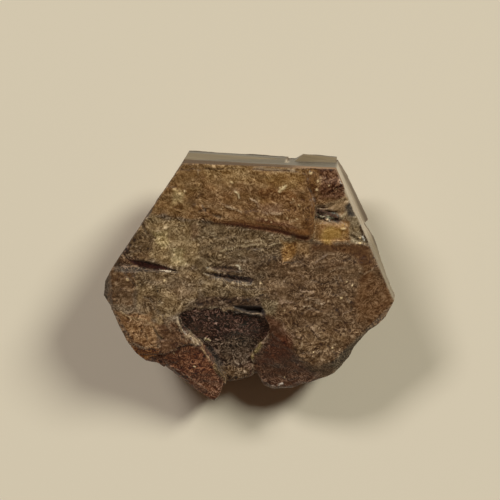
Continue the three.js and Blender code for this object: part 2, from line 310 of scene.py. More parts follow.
# The stretches, each laid over those before it.
TINTS: tuple[Tint, ...] = (
    Tint(
        "stone", "6e5c4a",
        outline=((-17, -16), (17, -16), (17, 14), (-17, 14)),
    ),
    Tint(
        "slab", "866644", ragged=0.2, soft=0.4, gloss=0.12, etch=0.95,
        outline=(
            (-12.5, 6.9), (-7.2, 12.2), (9.6, 12.2), (10.2, 8.0), (6.9, 7.2), (6.6, 4.0), (5.6, 3.6),
            (3.2, 4.6), (-2.0, 5.3), (-8.0, 6.1),
        ),
    ),
    Tint(
        "slab olive top", "896942", soft=0.9, gloss=0.12, etch=0.95,
        outline=((-4.8, 12.2), (5.8, 12.0), (5.5, 9.2), (2.3, 8.7), (-0.9, 9.3), (-3.5, 8.8), (-4.6, 9.8)),
    ),
    Tint(
        "slab red lower", "775531", soft=0.9, gloss=0.12, etch=0.95,
        outline=((-2.7, 8.6), (5.0, 8.6), (5.4, 5.4), (1.2, 6.2), (-2.4, 6.9)),
    ),
    Tint(
        "slab left brown", "7b5c36", soft=0.9, gloss=0.1, etch=0.95,
        outline=((-7.4, 12.4), (-4.5, 11.8), (-4.5, 7.2), (-6.5, 6.1), (-12.0, 6.7), (-10.0, 9.4)),
    ),
    Tint(
        "slab orange streak", "88653c", soft=0.8, gloss=0.1, etch=0.95,
        outline=((-1.6, 8.5), (0.6, 8.3), (2.6, 8.0), (2.4, 7.2), (0.2, 7.4), (-1.8, 7.7)),
    ),
    Tint(
        "slab brown bar", "7f572f", gloss=0.15, etch=0.95,
        outline=((1.2, 9.0), (4.9, 8.6), (4.8, 7.8), (2.4, 7.9), (0.9, 8.2)),
    ),
    Tint(
        "slab corner olive", "69461e", ragged=0.3, soft=0.5, gloss=0.2,
        outline=((5.4, 12.0), (7.3, 12.0), (6.8, 9.0), (5.6, 8.6)),
    ),
    Tint(
        "shoulder red", "5f3d27", ragged=0.3, soft=0.5, gloss=0.3, etch=1.3,
        outline=((7.0, 12.0), (9.0, 12.0), (10.6, 7.9), (8.2, 7.7), (7.0, 8.0)),
    ),
    Tint(
        "slab gold", "8d6f47", soft=1.0, gloss=0.12,
        outline=((-4.6, 11.4), (-0.2, 11.2), (0.2, 10.2), (-1.4, 9.4), (-3.6, 10.0), (-4.7, 10.2)),
    ),
    Tint(
        "slab gold right", "89673a", ragged=0.4, soft=0.9, gloss=0.15,
        outline=((1.4, 10.6), (5.6, 10.4), (5.4, 9.4), (3.6, 9.1), (1.6, 9.5)),
    ),
    Tint(
        "slab pale streak", "a89279", ragged=0.1, soft=0.25, gloss=0.1,
        outline=((0.4, 11.15), (4.6, 10.95), (4.6, 10.7), (0.4, 10.85)),
    ),
    Tint(
        "slab mauve", "765633", ragged=0.6, soft=0.9, gloss=0.1,
        outline=((-1.9, 8.0), (1.2, 8.2), (1.1, 6.6), (-0.4, 6.4), (-1.8, 6.8)),
    ),
    Tint(
        "slab mauve right", "937258", ragged=0.4, soft=0.7, gloss=0.1,
        outline=((1.0, 7.5), (3.2, 7.4), (3.2, 6.6), (1.2, 6.4)),
    ),
    Tint(
        "slab dark streak", "7e5b38", ragged=0.4, soft=0.5, gloss=0.15,
        outline=((1.4, 8.7), (3.8, 8.3), (4.2, 7.6), (2.2, 7.7), (1.2, 8.1)),
    ),
    Tint(
        "slab dark left", "6c4d2c", ragged=0.4, gloss=0.1,
        outline=((-6.4, 7.5), (-5.4, 8.6), (-4.6, 8.9), (-4.7, 7.9), (-5.7, 6.9)),
    ),
    Tint(
        "slab dark bend", "86633f", ragged=0.3, soft=0.5, gloss=0.1,
        outline=((-4.9, 7.4), (-4.2, 6.9), (-2.8, 6.3), (-2.9, 5.9), (-4.4, 6.2), (-5.1, 6.9)),
    ),
    Tint(
        "slab lower red", "6b442d", ragged=0.25, soft=0.5, gloss=0.15,
        outline=((0.8, 6.2), (3.0, 5.7), (4.8, 5.1), (4.7, 4.6), (2.6, 5.2), (0.6, 5.6)),
    ),
    Tint(
        "slab end brown", "6a4823", soft=0.8, gloss=0.15,
        outline=((4.7, 8.4), (6.3, 8.4), (6.4, 4.4), (5.6, 4.6), (5.4, 6.6)),
    ),
    Tint(
        "plate wall", "865c35", ragged=0.15, soft=0.5, gloss=0.15, etch=0.5,
        outline=(
            (-3.6, 5.3), (-1.5, 5.1), (1.0, 4.75), (3.4, 4.3), (4.8, 3.9), (5.9, 3.7), (6.2, 4.3),
            (5.9, 4.8), (4.4, 5.0), (2.8, 5.3), (1.0, 5.6), (-1.4, 5.8), (-3.6, 5.7),
        ),
    ),
    # Painted shade: the dark band at the foot of the slab's wall, in the shade of its step.
    Tint(
        "plate wall foot", "673209", ragged=0.08, soft=0.3, gloss=-1.0, etch=0.3,
        outline=(
            (-2.6, 5.3), (-1.0, 5.1), (1.0, 4.75), (3.4, 4.3), (4.6, 3.85), (5.8, 3.7), (6.1, 4.05),
            (4.9, 4.35), (3.6, 4.75), (1.6, 5.1), (-1.2, 5.45), (-2.6, 5.5),
        ),
    ),
    # Painted shadow in the step at the slab's right end.
    Tint(
        "plate end wall", "684117", ragged=0.15, soft=0.3, etch=0.6,
        outline=((6.0, 4.4), (6.5, 4.4), (6.7, 7.2), (6.4, 10.0), (5.9, 10.0), (6.1, 7.0)),
    ),
    Tint(
        "left olive", "87704f", ragged=0.4, etch=1.15,
        outline=(
            (-12.4, 6.6), (-8.0, 5.9), (-4.8, 5.5), (-4.6, 1.4), (-7.4, 0.8), (-10.4, 1.8), (-14.2, 2.2),
        ),
    ),
    Tint(
        "left plum", "3b241e", ragged=0.9, soft=1.6,
        outline=((-12.8, 5.6), (-10.6, 5.6), (-9.8, 3.6), (-10.6, 2.2), (-14.0, 2.2)),
    ),
    Tint(
        "left plum spot", "7d644a", ragged=0.4,
        outline=((-6.1, 5.4), (-5.0, 5.3), (-4.8, 4.0), (-5.8, 3.8)),
    ),
    Tint(
        "yellow A", "a69269",
        outline=((-9.8, 4.6), (-8.3, 4.5), (-8.0, 3.3), (-9.2, 3.0)),
    ),
    Tint(
        "yellow B", "a28f6a", ragged=0.4,
        outline=((-7.9, 2.8), (-6.9, 2.6), (-6.6, 1.2), (-7.7, 1.1)),
    ),
    Tint(
        "yellow C", "a28a61", ragged=0.4,
        outline=((-7.6, 8.8), (-6.3, 8.7), (-6.5, 7.6), (-7.7, 7.2)),
    ),
    Tint(
        "centre grey", "69553b", ragged=0.4, etch=1.2,
        outline=(
            (-5.0, 5.4), (0.5, 4.8), (3.4, 4.3), (5.2, 3.8), (2.4, 1.5), (1.4, -2.4), (-4.5, -2.7),
            (-5.4, 1.1),
        ),
    ),
    Tint(
        "centre shade", "634f3a", ragged=0.6, soft=1.0, etch=1.2,
        outline=((-3.0, 1.6), (2.6, 2.6), (4.8, 1.4), (3.0, -0.6), (0.6, -1.2), (-3.2, 0.0)),
    ),
    Tint(
        "left pale", "7c6649", etch=1.25,
        outline=(
            (-11.6, 0.6), (-5.0, 0.8), (-5.1, -2.5), (-7.1, -3.5), (-9.1, -5.2), (-11.1, -3.4),
            (-12.1, -0.7),
        ),
    ),
    Tint(
        "left corner", "5f4225", soft=0.8,
        outline=((-15.6, 1.0), (-11.4, 0.7), (-11.3, -1.4), (-12.0, -2.9), (-15.6, -2.7)),
    ),
    Tint(
        "left tip", "4c3c2c", ragged=0.15, soft=0.3, gloss=-1.0,
        outline=((-15.8, 0.8), (-14.2, 0.8), (-14.35, -0.4), (-14.3, -1.5), (-14.5, -2.6), (-15.8, -2.6)),
    ),
    Tint(
        "left green", "715b42", ragged=0.4, soft=1.0,
        outline=((-11.0, 0.6), (-9.2, 0.4), (-9.0, -0.9), (-10.6, -1.0)),
    ),
    Tint(
        "left corner plum", "644b33", soft=0.7,
        outline=((-13.8, -0.4), (-12.0, -0.6), (-11.7, -2.4), (-13.0, -3.0), (-14.0, -2.0)),
    ),
    Tint(
        "left rose", "7f6952", ragged=0.6, soft=1.4,
        outline=((-8.6, -0.4), (-6.2, 0.2), (-5.4, -1.0), (-6.2, -2.6), (-7.6, -2.0), (-8.4, -1.4)),
    ),
    Tint(
        "left dark top", "5b4428", ragged=0.7, soft=0.8,
        outline=((-11.6, 5.2), (-10.2, 5.2), (-9.8, 3.6), (-10.4, 2.4), (-11.8, 2.6), (-12.2, 4.2)),
    ),
    Tint(
        "left crack haze", "6d5336", ragged=0.4,
        outline=((-11.8, 2.4), (-10.2, 2.2), (-9.9, 1.6), (-11.4, 1.6)),
    ),
    # Painted shade in the left crack.
    Tint(
        "left crack", "351f10", ragged=0.1, soft=0.4, gloss=-1.0, etch=1.1,
        outline=(
            (-14.8, 2.0), (-12.4, 1.9), (-10.2, 1.4), (-8.8, 1.0), (-7.2, 0.45), (-9.2, 0.45),
            (-11.1, 0.65), (-14.8, 0.85),
        ),
    ),
    # Painted light: the crack's left end is painted paler, against the shade of its cut.
    Tint(
        "left crack mouth", "7b5a3b", ragged=0.2, soft=0.8, gloss=-1.0,
        outline=((-15.6, 2.3), (-13.4, 2.1), (-11.6, 1.75), (-11.9, 1.0), (-15.6, 0.9)),
    ),
    # Painted shade on the crack's lit lower wall and in its deepest part.
    Tint(
        "left crack foot", "433122", ragged=0.1, soft=0.3, gloss=-1.0,
        outline=((-13.6, 1.3), (-11.5, 1.0), (-9.4, 0.66), (-9.3, 0.4), (-11.2, 0.35), (-13.6, 0.4)),
    ),
    Tint(
        "left crack depth", "481303", ragged=0.1, soft=0.3, gloss=-1.0, etch=0.4,
        outline=((-12.4, 1.7), (-10.6, 1.4), (-9.0, 1.0), (-7.6, 0.6), (-9.4, 0.6), (-11.6, 0.9)),
    ),
    # Painted shade in two fine cracks across the middle.
    Tint(
        "long middle crack", "2d140b", ragged=0.08, soft=0.2, gloss=-1.0, etch=0.9,
        outline=(
            (-4.7, 0.34), (-3.0, 0.2), (-0.2, -0.1), (0.4, -0.4), (0.0, -0.72), (-2.0, -0.42), (-3.9, 0.02),
        ),
    ),
    Tint(
        "upper middle crack", "4b321d", ragged=0.08, soft=0.2, gloss=-1.0, etch=0.6,
        outline=((-4.3, 0.95), (-3.2, 1.1), (-1.6, 0.95), (-0.8, 0.55), (-1.8, 0.5), (-3.4, 0.6)),
    ),
    Tint(
        "left grey patch", "6e583f", ragged=0.3, soft=0.5,
        outline=((-10.6, -2.0), (-9.4, -2.0), (-9.2, -4.2), (-10.2, -4.6), (-11.2, -3.4)),
    ),
    Tint(
        "left orange", "805e3d", etch=1.25,
        outline=((-14.0, -3.6), (-10.1, -4.1), (-8.9, -5.8), (-9.5, -7.7), (-12.6, -7.7), (-14.0, -5.6)),
    ),
    Tint(
        "left steps", "9c5e22", ragged=0.2, soft=0.4, gloss=-1.0,
        outline=((-12.6, -7.5), (-9.0, -7.5), (-8.6, -9.9), (-10.8, -9.9), (-12.4, -9.0)),
    ),
    Tint(
        "plum by spur", "5a3b23", ragged=0.4,
        outline=((-9.1, -5.2), (-7.5, -4.7), (-5.1, -7.3), (-7.1, -7.3), (-9.2, -8.5), (-9.5, -6.8)),
    ),
    Tint(
        "strip behind hollow", "422d1c", ragged=0.3, soft=0.5,
        outline=((-5.8, -2.1), (1.5, -2.0), (1.6, -3.1), (-5.4, -3.2)),
    ),
    Tint(
        "right side", "634930", ragged=0.6, soft=1.0, etch=1.1,
        outline=((5.2, 3.5), (16, 3.4), (16, -5), (9, -13), (1.6, -13), (1.4, -3.4), (2.2, 1.5)),
    ),
    Tint(
        "right red", "6e563e", ragged=0.6, soft=1.4, etch=1.1,
        outline=((1.6, 0.8), (3.6, 1.0), (3.8, -1.4), (2.2, -2.2), (1.4, -1.0)),
    ),
    Tint(
        "right plum", "694f36", ragged=0.7, soft=1.0, etch=1.15,
        outline=((5.6, 3.4), (12.4, 3.2), (12.6, 0.2), (10.8, -2.1), (8.0, -2.3), (5.6, -0.3)),
    ),
    Tint(
        "right far plum", "5a391a", ragged=0.3, soft=0.5, etch=0.6,
        outline=((6.0, 3.4), (11.8, 3.2), (12.4, 1.2), (11.4, 1.0), (10.2, 2.3), (6.2, 2.6)),
    ),
    Tint(
        "right tip", "694a2e", soft=0.8, gloss=0.2, etch=0.8,
        outline=((11.6, 1.0), (15.3, -2.0), (13.6, -5.3), (10.8, -4.6), (10.4, -2.3)),
    ),
    Tint(
        "right tan", "6b5136", soft=0.7, etch=1.3,
        outline=((4.6, -5.2), (9.6, -5.6), (9.4, -7.9), (7.6, -9.0), (4.8, -8.3)),
    ),
    Tint(
        "yellow D", "726148", ragged=0.3,
        outline=((1.2, -2.4), (2.6, -2.6), (2.6, -3.8), (1.4, -3.8)),
    ),
    Tint(
        "orange spot", "835c2a", ragged=0.3,
        outline=((3.1, 3.7), (4.9, 3.4), (4.5, 1.8), (3.4, 1.5)),
    ),
    Tint(
        "tan ledge", "8b6e4c", ragged=0.3,
        outline=((4.8, 3.7), (6.2, 3.6), (5.8, 2.2), (4.8, 2.2)),
    ),
    Tint(
        "rim right", "534330", ragged=0.15, soft=0.4, gloss=-1.0, etch=0.7,
        outline=(
            (9.0, -8.0), (10.9, -6.1), (12.4, -5.0), (13.4, -5.4), (10.6, -9.6), (8.4, -11.4), (7.6, -9.6),
        ),
    ),
    Tint(
        "rim front", "614a32", ragged=0.3, gloss=-1.0, etch=0.7,
        outline=((3.9, -9.2), (6.0, -9.1), (7.6, -8.9), (8.4, -9.4), (8.8, -11.6), (4.2, -12.0)),
    ),
    Tint(
        "pocket matrix", "856b4f", ragged=0.1, soft=0.2, etch=0.9,
        outline=(
            (6.3, 3.5), (10.2, 3.5), (13.5, 3.1), (11.6, 8.4), (9.6, 8.2), (8.5, 7.6), (7.4, 7.2),
            (6.5, 7.4),
        ),
    ),
    Tint(
        "pocket pink", "a58969", ragged=0.2, soft=0.4, etch=0.6,
        outline=((7.7, 7.5), (9.8, 8.2), (9.9, 6.7), (9.2, 6.2), (8.4, 6.8), (7.4, 6.9)),
    ),
    Tint(
        "pocket green", "452613", ragged=0.15, soft=0.25, gloss=-1.0, etch=0.8,
        outline=((6.6, 6.9), (7.8, 6.7), (8.8, 6.5), (9.2, 5.9), (8.8, 5.5), (6.6, 5.9)),
    ),
    Tint(
        "pocket shade", "392e23", ragged=0.25, soft=0.5, gloss=-1.0,
        outline=((9.4, 7.3), (10.3, 7.7), (11.0, 6.2), (10.5, 5.8), (9.9, 6.0), (9.5, 6.6)),
    ),
    Tint(
        "pocket grey", "8b7a60", ragged=0.25, soft=0.3,
        outline=((9.7, 6.2), (10.6, 6.2), (11.6, 4.4), (11.8, 3.3), (10.1, 3.6), (9.8, 5.0)),
    ),
    Tint(
        "pocket grey shade", "443221", ragged=0.2, soft=0.25, gloss=0.3,
        outline=((10.9, 5.4), (11.6, 5.2), (12.2, 3.6), (11.6, 3.4), (11.0, 4.2)),
    ),
    Tint(
        "pocket orange", "957049", ragged=0.35, soft=0.5, gloss=0.3, etch=0.6,
        outline=((6.4, 5.5), (9.7, 5.5), (9.9, 3.65), (6.4, 3.65)),
    ),
    Tint(
        "pocket yellow", "a58248", ragged=0.6, soft=0.8, gloss=0.4, etch=0.6,
        outline=((7.0, 4.9), (9.3, 5.0), (9.4, 3.9), (6.9, 3.9)),
    ),
    Tint(
        "hollow", "42231a", ragged=0.08, soft=0.2, etch=1.35,
        outline=(
            (-7.3, -4.2), (-6.75, -3.7), (-6.05, -3.5), (-5.6, -3.25), (-5.0, -3.45), (-4.5, -3.3),
            (-3.2, -3.25), (-2.65, -3.8), (-2.15, -3.45), (-1.5, -3.85), (0.0, -3.95), (1.1, -4.05),
            (1.55, -4.35), (1.85, -4.95), (1.95, -5.6), (1.7, -6.3), (1.2, -7.0), (0.2, -7.8), (-0.1, -8.6),
            (0.1, -14), (-2.7, -14), (-2.7, -10.9), (-4.2, -8.6), (-5.1, -7.4), (-6.1, -6.3), (-7.2, -5.2),
        ),
    ),
    Tint(
        "hollow grey", "534133", soft=1.2, etch=1.15,
        outline=((-4.2, -7.4), (-1.1, -6.4), (1.0, -6.6), (0.2, -7.9), (-0.1, -9.8), (-2.6, -10.6)),
    ),
    # Painted shade on the hollow's left wall.
    Tint(
        "hollow left wall", "3f2e24", ragged=0.1, soft=0.2, gloss=-1.0,
        outline=(
            (-5.5, -7.2), (-4.65, -8.2), (-4.1, -9.1), (-3.65, -10.1), (-3.2, -11.2), (-2.5, -11.2),
            (-2.9, -10.2), (-3.2, -9.2), (-3.7, -8.2), (-4.5, -7.0), (-5.0, -6.6),
        ),
    ),
    # Painted shade in the crack behind the hollow and on its front lip.
    Tint(
        "bar behind hollow", "1d0902", ragged=0.05, soft=0.2, gloss=-1.0, etch=0.2,
        outline=(
            (-1.7, -3.0), (-0.4, -2.94), (1.0, -2.98), (1.35, -3.3), (1.6, -3.95), (1.5, -4.4), (1.2, -4.0),
            (1.0, -3.7), (0.0, -3.66), (-0.9, -3.56), (-1.5, -3.3),
        ),
    ),
    Tint(
        "ledge behind hollow", "332721", ragged=0.1, soft=0.15, gloss=-1.0,
        outline=((-1.6, -3.42), (-0.9, -3.66), (0.0, -3.76), (1.0, -3.8), (1.1, -4.15), (-1.8, -3.95)),
    ),
    Tint(
        "hollow lip", "5e462e", ragged=0.3,
        outline=((-3.2, -9.9), (-0.2, -9.9), (-0.2, -12), (-3.2, -12)),
    ),
    Tint(
        "lobe", "583927", ragged=0.25, gloss=0.2, etch=0.7,
        outline=(
            (1.2, -3.9), (3.0, -4.6), (4.0, -6.5), (4.8, -8.4), (5.4, -9.2), (6.4, -10.2), (6.4, -13),
            (0.2, -13), (0.1, -9.8), (-0.1, -8.6), (1.2, -7.1), (1.9, -6.0),
        ),
    ),
    Tint(
        "lobe red", "5b2f1a", soft=1.0, gloss=0.2, etch=0.65,
        outline=((1.9, -6.6), (3.8, -6.4), (4.0, -8.0), (2.2, -9.4), (0.8, -9.4)),
    ),
    Tint(
        "lobe lip", "6b4b39", ragged=0.2, gloss=0.2, etch=0.85,
        outline=(
            (0.4, -10.6), (1.6, -10.9), (3.6, -10.7), (5.2, -9.8), (7.0, -10.0), (7.0, -13), (0.4, -13),
        ),
    ),
    Tint(
        "spur", "6d391b", ragged=0.15, soft=0.3, gloss=-0.3,
        outline=(
            (-9.6, -8.3), (-8.2, -7.9), (-7.1, -7.2), (-5.1, -7.3), (-4.2, -8.6), (-2.6, -12.5),
            (-4.0, -14.4), (-11.8, -9.6),
        ),
    ),
    Tint(
        "spur tip", "794f39", ragged=0.4, soft=0.8, gloss=0.1,
        outline=((-6.2, -11.0), (-3.2, -11.0), (-2.8, -14), (-5.4, -14)),
    ),
)

# The pale veins beside the hollow, then scratches, fine cracks, pale rims and pale or dark spots. Among them
# are painted highlights along the lobe's rim, painted glints, and a painted shadow at the slab's right end.
MARKS: tuple[Mark, ...] = (
    Mark("b49f85", ((-7.35, -4.4), (-7.1, -5.2), (-6.8, -5.8), (-6.5, -6.2)), 0.26, 0.06, 0.0, 0.9),
    Mark("b19a82", ((-6.6, -6.0), (-6.1, -6.5), (-5.6, -6.95), (-5.2, -7.3)), 0.5, 0.1, 0.0, 0.85),
    Mark("998068", ((-6.5, -6.3), (-6.4, -6.9)), 0.24, 0.05, 0.0, 0.6),
    Mark("ab8e6d", ((-5.2, -7.3), (-4.85, -7.95), (-4.35, -8.65), (-3.85, -9.5)), 0.16, 0.05, 0.0, 0.85),
    Mark("80663e", ((-3.9, -9.4), (-3.4, -10.2), (-2.9, -10.8)), 0.3, 0.03, 0.0, 0.7),
    Mark("2a1d14", ((-7.1, -4.6), (-6.5, -5.7), (-5.7, -6.5), (-5.0, -7.1), (-4.6, -7.8)), 0.18, -0.04),
    # Painted glint by the hollow's left rim.
    Mark("e8ddb5", ((-4.75, -6.9), (-4.55, -6.8), (-4.3, -6.95)), 0.26, 0.06, 0.3),
    Mark("9f8772", ((1.9, -5.9), (1.7, -6.4), (1.3, -6.95), (1.0, -7.2)), 0.26, 0.06, 0.0, 0.9),
    Mark("ab9a65", ((1.0, -7.2), (0.6, -7.7), (0.3, -8.2), (0.05, -8.8)), 0.5, 0.06, 0.0, 0.85),
    Mark("c8b697", ((-0.05, -8.8), (0.1, -9.3)), 0.18, 0.06, 0.3),
    Mark("876b5d", ((2.1, -5.6), (2.5, -6.1), (3.0, -6.6)), 0.12, 0.03, 0.2, 0.6),
    # Painted highlight along the lobe's rim, with two paler painted glints on it.
    Mark("907b72", (
        (0.9, -11.3), (1.7, -11.8), (2.6, -12.0), (3.4, -11.9), (4.2, -11.4), (4.9, -11.1), (6.6, -11.1),
    ), 0.14, 0.04, 0.3),
    Mark("e8e1dc", ((2.6, -11.75), (2.9, -11.6), (3.2, -11.5)), 0.2, 0.05, 0.5),
    Mark("d8ccc4", ((2.0, -11.8), (2.4, -11.85)), 0.16, 0.05, 0.5),
    Mark("927663", ((-9.0, -8.9), (-7.2, -10.3), (-5.7, -11.5), (-4.5, -12.4)), 0.12, 0.04, 0.0, 0.8),
    Mark("decca9", ((-1.85, 8.15), (-1.75, 8.4), (-1.45, 8.55), (-1.1, 8.45), (-0.95, 8.1)), 0.18, 0.08),
    Mark("513b26", ((-5.9, 6.9), (-5.4, 7.6), (-4.9, 8.5)), 0.2, -0.08),
    # Painted shadow in the step from the slab's right end down to the pocket.
    Mark("4c3421", ((5.9, 9.2), (6.3, 8.4), (6.6, 7.4), (6.65, 6.4)), 0.26, -0.08),
    Mark("4c3724", ((-4.7, 7.3), (-4.4, 6.6), (-3.6, 6.2), (-2.9, 6.1)), 0.22, -0.06),
    # Painted glint on the slab.
    Mark("ead7af", ((3.05, 8.65), (3.35, 9.0), (3.65, 9.35)), 0.34, 0.06, 0.3),
    Mark("b69c82", ((0.2, 7.9), (0.7, 7.7), (1.0, 7.2)), 0.2, 0.04),
    Mark("ab9378", ((-2.2, 7.1), (-1.4, 6.9), (-0.8, 6.6)), 0.2, 0.04),
    Mark("bda385", ((4.2, 7.6), (4.4, 7.9), (4.2, 8.1)), 0.2, 0.05),
    Mark("ab9178", ((2.2, 6.6), (3.0, 6.4), (3.4, 6.7)), 0.2, 0.04),
    Mark("896d56", ((-13.2, 0.95), (-12.2, 0.85), (-11.4, 0.9)), 0.2, 0.03),
    # Painted glint on the lower lip of the left crack.
    Mark("eadcc9", ((-9.1, 0.56), (-8.5, 0.44), (-8.0, 0.46)), 0.12, 0.04, 0.3, 0.8),
    Mark("9f8e72", ((-3.0, 2.6), (-0.6, 3.1), (1.2, 3.1), (2.0, 3.3), (3.4, 3.6)), 0.12, 0.04),
    Mark("534031", ((-2.6, 2.4), (-0.4, 2.85), (1.2, 2.85), (3.2, 3.25)), 0.12, -0.04),
    Mark("9f8e72", ((-0.4, 3.4), (0.8, 3.7), (1.6, 3.6)), 0.12, 0.04),
    Mark("533926", ((0.4, 10.9), (2.4, 10.8), (5.6, 10.7)), 0.16, -0.04),
    Mark("573e29", ((-6.9, 10.9), (-4.9, 10.85), (-1.4, 10.95)), 0.14, -0.03),
    Mark("ab9172", ((-5.1, 11.2), (-5.05, 10.3)), 0.14, 0.04),
    # Painted glint.
    Mark("e8ddc9", ((-1.35, 1.15), (-1.05, 0.85), (-1.0, 0.6)), 0.2, 0.05, 0.3),
    Mark("bba892", ((-0.7, -0.85), (0.1, -0.9)), 0.2, 0.04, 0.2),
    Mark("4c392c", ((-4.2, -0.2), (-2.4, -0.2), (-0.8, -0.6)), 0.2, -0.05),
    Mark("554236", ((-1.8, -1.0), (0.2, -1.25), (1.6, -1.3)), 0.14, -0.03),
    Mark("ab9c85", ((-4.1, -3.3), (-3.6, -3.15), (-3.2, -3.2)), 0.26, 0.05, 0.2),
    Mark("d8c9bc", ((-3.0, -3.4), (-2.8, -3.55), (-2.7, -3.8)), 0.16, 0.05, 0.3),
    Mark("947e65", ((-2.2, -3.3), (-1.8, -3.35)), 0.22, 0.03),
    Mark("3f332e", ((-0.3, -3.6), (0.4, -3.64), (1.2, -3.66)), 0.22, -0.2, -1.0, 0.0),
    Mark("ab917d", ((5.0, -1.45), (6.1, -1.55), (6.3, -1.8)), 0.14, 0.04),
    Mark("ab9587", ((6.5, 1.4), (7.0, 1.8), (7.7, 2.35)), 0.14, 0.04, 0.0, 0.8),
    Mark("9f8775", ((4.7, 0.6), (5.2, 0.2), (5.3, -0.2)), 0.14, 0.04, 0.0, 0.8),
    Mark("a8937d", ((5.1, -3.3), (6.6, -2.6), (7.3, -2.8), (7.0, -3.3)), 0.14, 0.05, 0.0, 0.8),
    Mark("9f8972", ((10.9, 0.6), (11.5, 0.25), (12.3, 0.95)), 0.12, 0.04, 0.0, 0.7),
    Mark("9d8270", ((2.5, -1.4), (3.1, -2.6), (4.2, -2.7)), 0.14, 0.04, 0.0, 0.8),
    Mark("967e65", ((10.1, -4.2), (10.6, -4.6), (10.8, -5.1)), 0.12, 0.04, 0.0, 0.7),
    Mark("9f8772", ((9.2, -3.9), (9.7, -3.6), (10.1, -3.5)), 0.12, 0.04, 0.0, 0.7),
    Mark("9d806d", ((4.0, -5.9), (4.8, -6.2), (5.5, -6.5)), 0.12, 0.04, 0.0, 0.8),
    Mark("9b7e6d", ((3.3, -4.8), (3.4, -5.4), (3.5, -5.9)), 0.12, 0.04, 0.0, 0.7),
    Mark("3f3026", ((5.2, -3.6), (6.2, -3.1), (6.9, -3.5)), 0.14, -0.05),
    Mark("433429", ((3.0, 1.6), (4.2, 1.4), (5.4, 1.7)), 0.16, -0.05),
    Mark("453429", ((6.2, -0.4), (7.4, -0.7), (8.2, -0.6)), 0.14, -0.04),
    Mark("413226", ((9.6, -1.9), (10.0, -2.6), (10.1, -3.2)), 0.14, -0.04),
    Mark("a8917a", ((8.0, 0.6), (8.6, 0.9), (9.4, 0.8)), 0.12, 0.04, 0.0, 0.7),
    Mark("99826b", ((7.6, -4.4), (8.2, -4.1), (8.5, -4.5)), 0.12, 0.04, 0.0, 0.8),
    Mark("99826b", ((7.9, -6.2), (8.3, -6.6), (8.9, -6.5)), 0.12, 0.04, 0.0, 0.8),
    Mark("453429", ((4.6, -7.3), (5.2, -7.8), (5.9, -7.6)), 0.12, -0.04),
    Mark("ab937d", ((5.4, -2.35), (6.8, -2.3), (7.4, -2.7)), 0.14, 0.05),
    Mark("b69a82", ((6.1, -5.2), (6.5, -5.5), (6.9, -6.1)), 0.16, 0.07),
    Mark("ab9178", ((6.6, -4.9), (6.9, -5.3)), 0.14, 0.06),
    Mark("483226", ((6.1, -5.5), (6.5, -5.8), (6.8, -6.3)), 0.14, -0.06),
    Mark("413229", ((8.5, 0.0), (8.8, -0.6), (9.1, -1.2)), 0.14, -0.05),
    Mark("45342c", ((8.9, 0.1), (9.2, -0.4)), 0.12, -0.04),
    Mark("a89175", ((5.2, -6.8), (5.1, -7.4)), 0.18, 0.05),
    Mark("413226", ((-10.8, -2.2), (-10.0, -2.3), (-9.7, -3.4)), 0.16, -0.06),
    Mark("413226", ((-9.4, -1.2), (-9.1, -2.2), (-9.1, -3.0)), 0.14, -0.05),
    Mark("3a2d21", ((-9.8, -5.4), (-9.4, -5.9), (-9.0, -6.6)), 0.18, -0.07),
    Mark("9f8263", ((-9.6, -5.4), (-9.2, -5.9), (-8.9, -6.4)), 0.12, 0.05),
    Mark("3f3024", ((-7.6, -5.3), (-7.1, -5.7), (-6.8, -6.4)), 0.16, -0.05),
    Mark("48392c", ((-12.9, 0.6), (-12.1, -0.2), (-11.2, -1.2)), 0.12, -0.04),
    Mark("48392c", ((-12.3, 0.6), (-11.5, -0.3), (-10.8, -1.0)), 0.12, -0.04),
    Mark("453729", ((-11.4, -7.8), (-10.2, -7.6), (-9.2, -7.7)), 0.12, -0.05),
    Mark("453729", ((-11.2, -8.4), (-10.0, -8.2), (-9.0, -8.4)), 0.12, -0.05),
    Mark("927260", ((-8.8, -8.2), (-7.8, -7.8), (-7.0, -7.3)), 0.24, 0.06),
    Mark("36241c", ((-9.4, -9.0), (-7.6, -10.6), (-6.0, -11.8), (-4.8, -12.7)), 0.3, -0.03, 0.0, 0.7),
    Mark("ab9372", ((-13.3, -3.6), (-12.0, -4.3), (-10.4, -4.7), (-9.8, -5.1)), 0.16, 0.05, 0.0, 0.8),
    Mark("967e63", ((-11.6, -7.0), (-10.6, -7.5), (-9.6, -7.1)), 0.16, 0.05, 0.0, 0.7),
    Mark("453426", ((-11.0, -5.6), (-10.6, -6.2), (-10.4, -6.8)), 0.16, -0.05, 0.0, 0.8),
    Mark("99826b", ((-8.9, -4.2), (-8.3, -4.9), (-8.0, -5.6)), 0.2, 0.05, 0.0, 0.8),
    Mark("433426", ((-9.3, -3.4), (-8.8, -4.2), (-8.4, -5.2)), 0.16, -0.05, 0.0, 0.8),
    Mark("4a3024", ((-9.0, -8.9), (-8.0, -9.4), (-7.4, -9.0)), 0.16, -0.05),
    Mark("433729", ((-11.0, 5.6), (-10.5, 4.7), (-10.2, 4.2)), 0.18, -0.06),
    Mark("513e2c", ((-5.0, 6.6), (-4.3, 6.9), (-3.9, 6.5)), 0.18, -0.05),
    Mark("ab8e6d", ((4.0, 5.6), (4.6, 5.8)), 0.3, 0.05),
    Mark("332d1c", ((6.75, 6.75), (7.1, 6.45), (7.6, 6.35)), 0.16, -0.05, 0.2),
    Mark("312b19", ((7.5, 6.7), (8.2, 6.55), (8.7, 6.45), (9.0, 6.0)), 0.18, -0.05, 0.2),
    Mark("332d1c", ((6.55, 6.05), (7.5, 6.0), (8.5, 5.7), (8.8, 5.5)), 0.18, -0.05, 0.2),
    Mark("8d8772", ((6.7, 6.3), (7.3, 6.15), (7.8, 6.2)), 0.12, 0.03, 0.2),
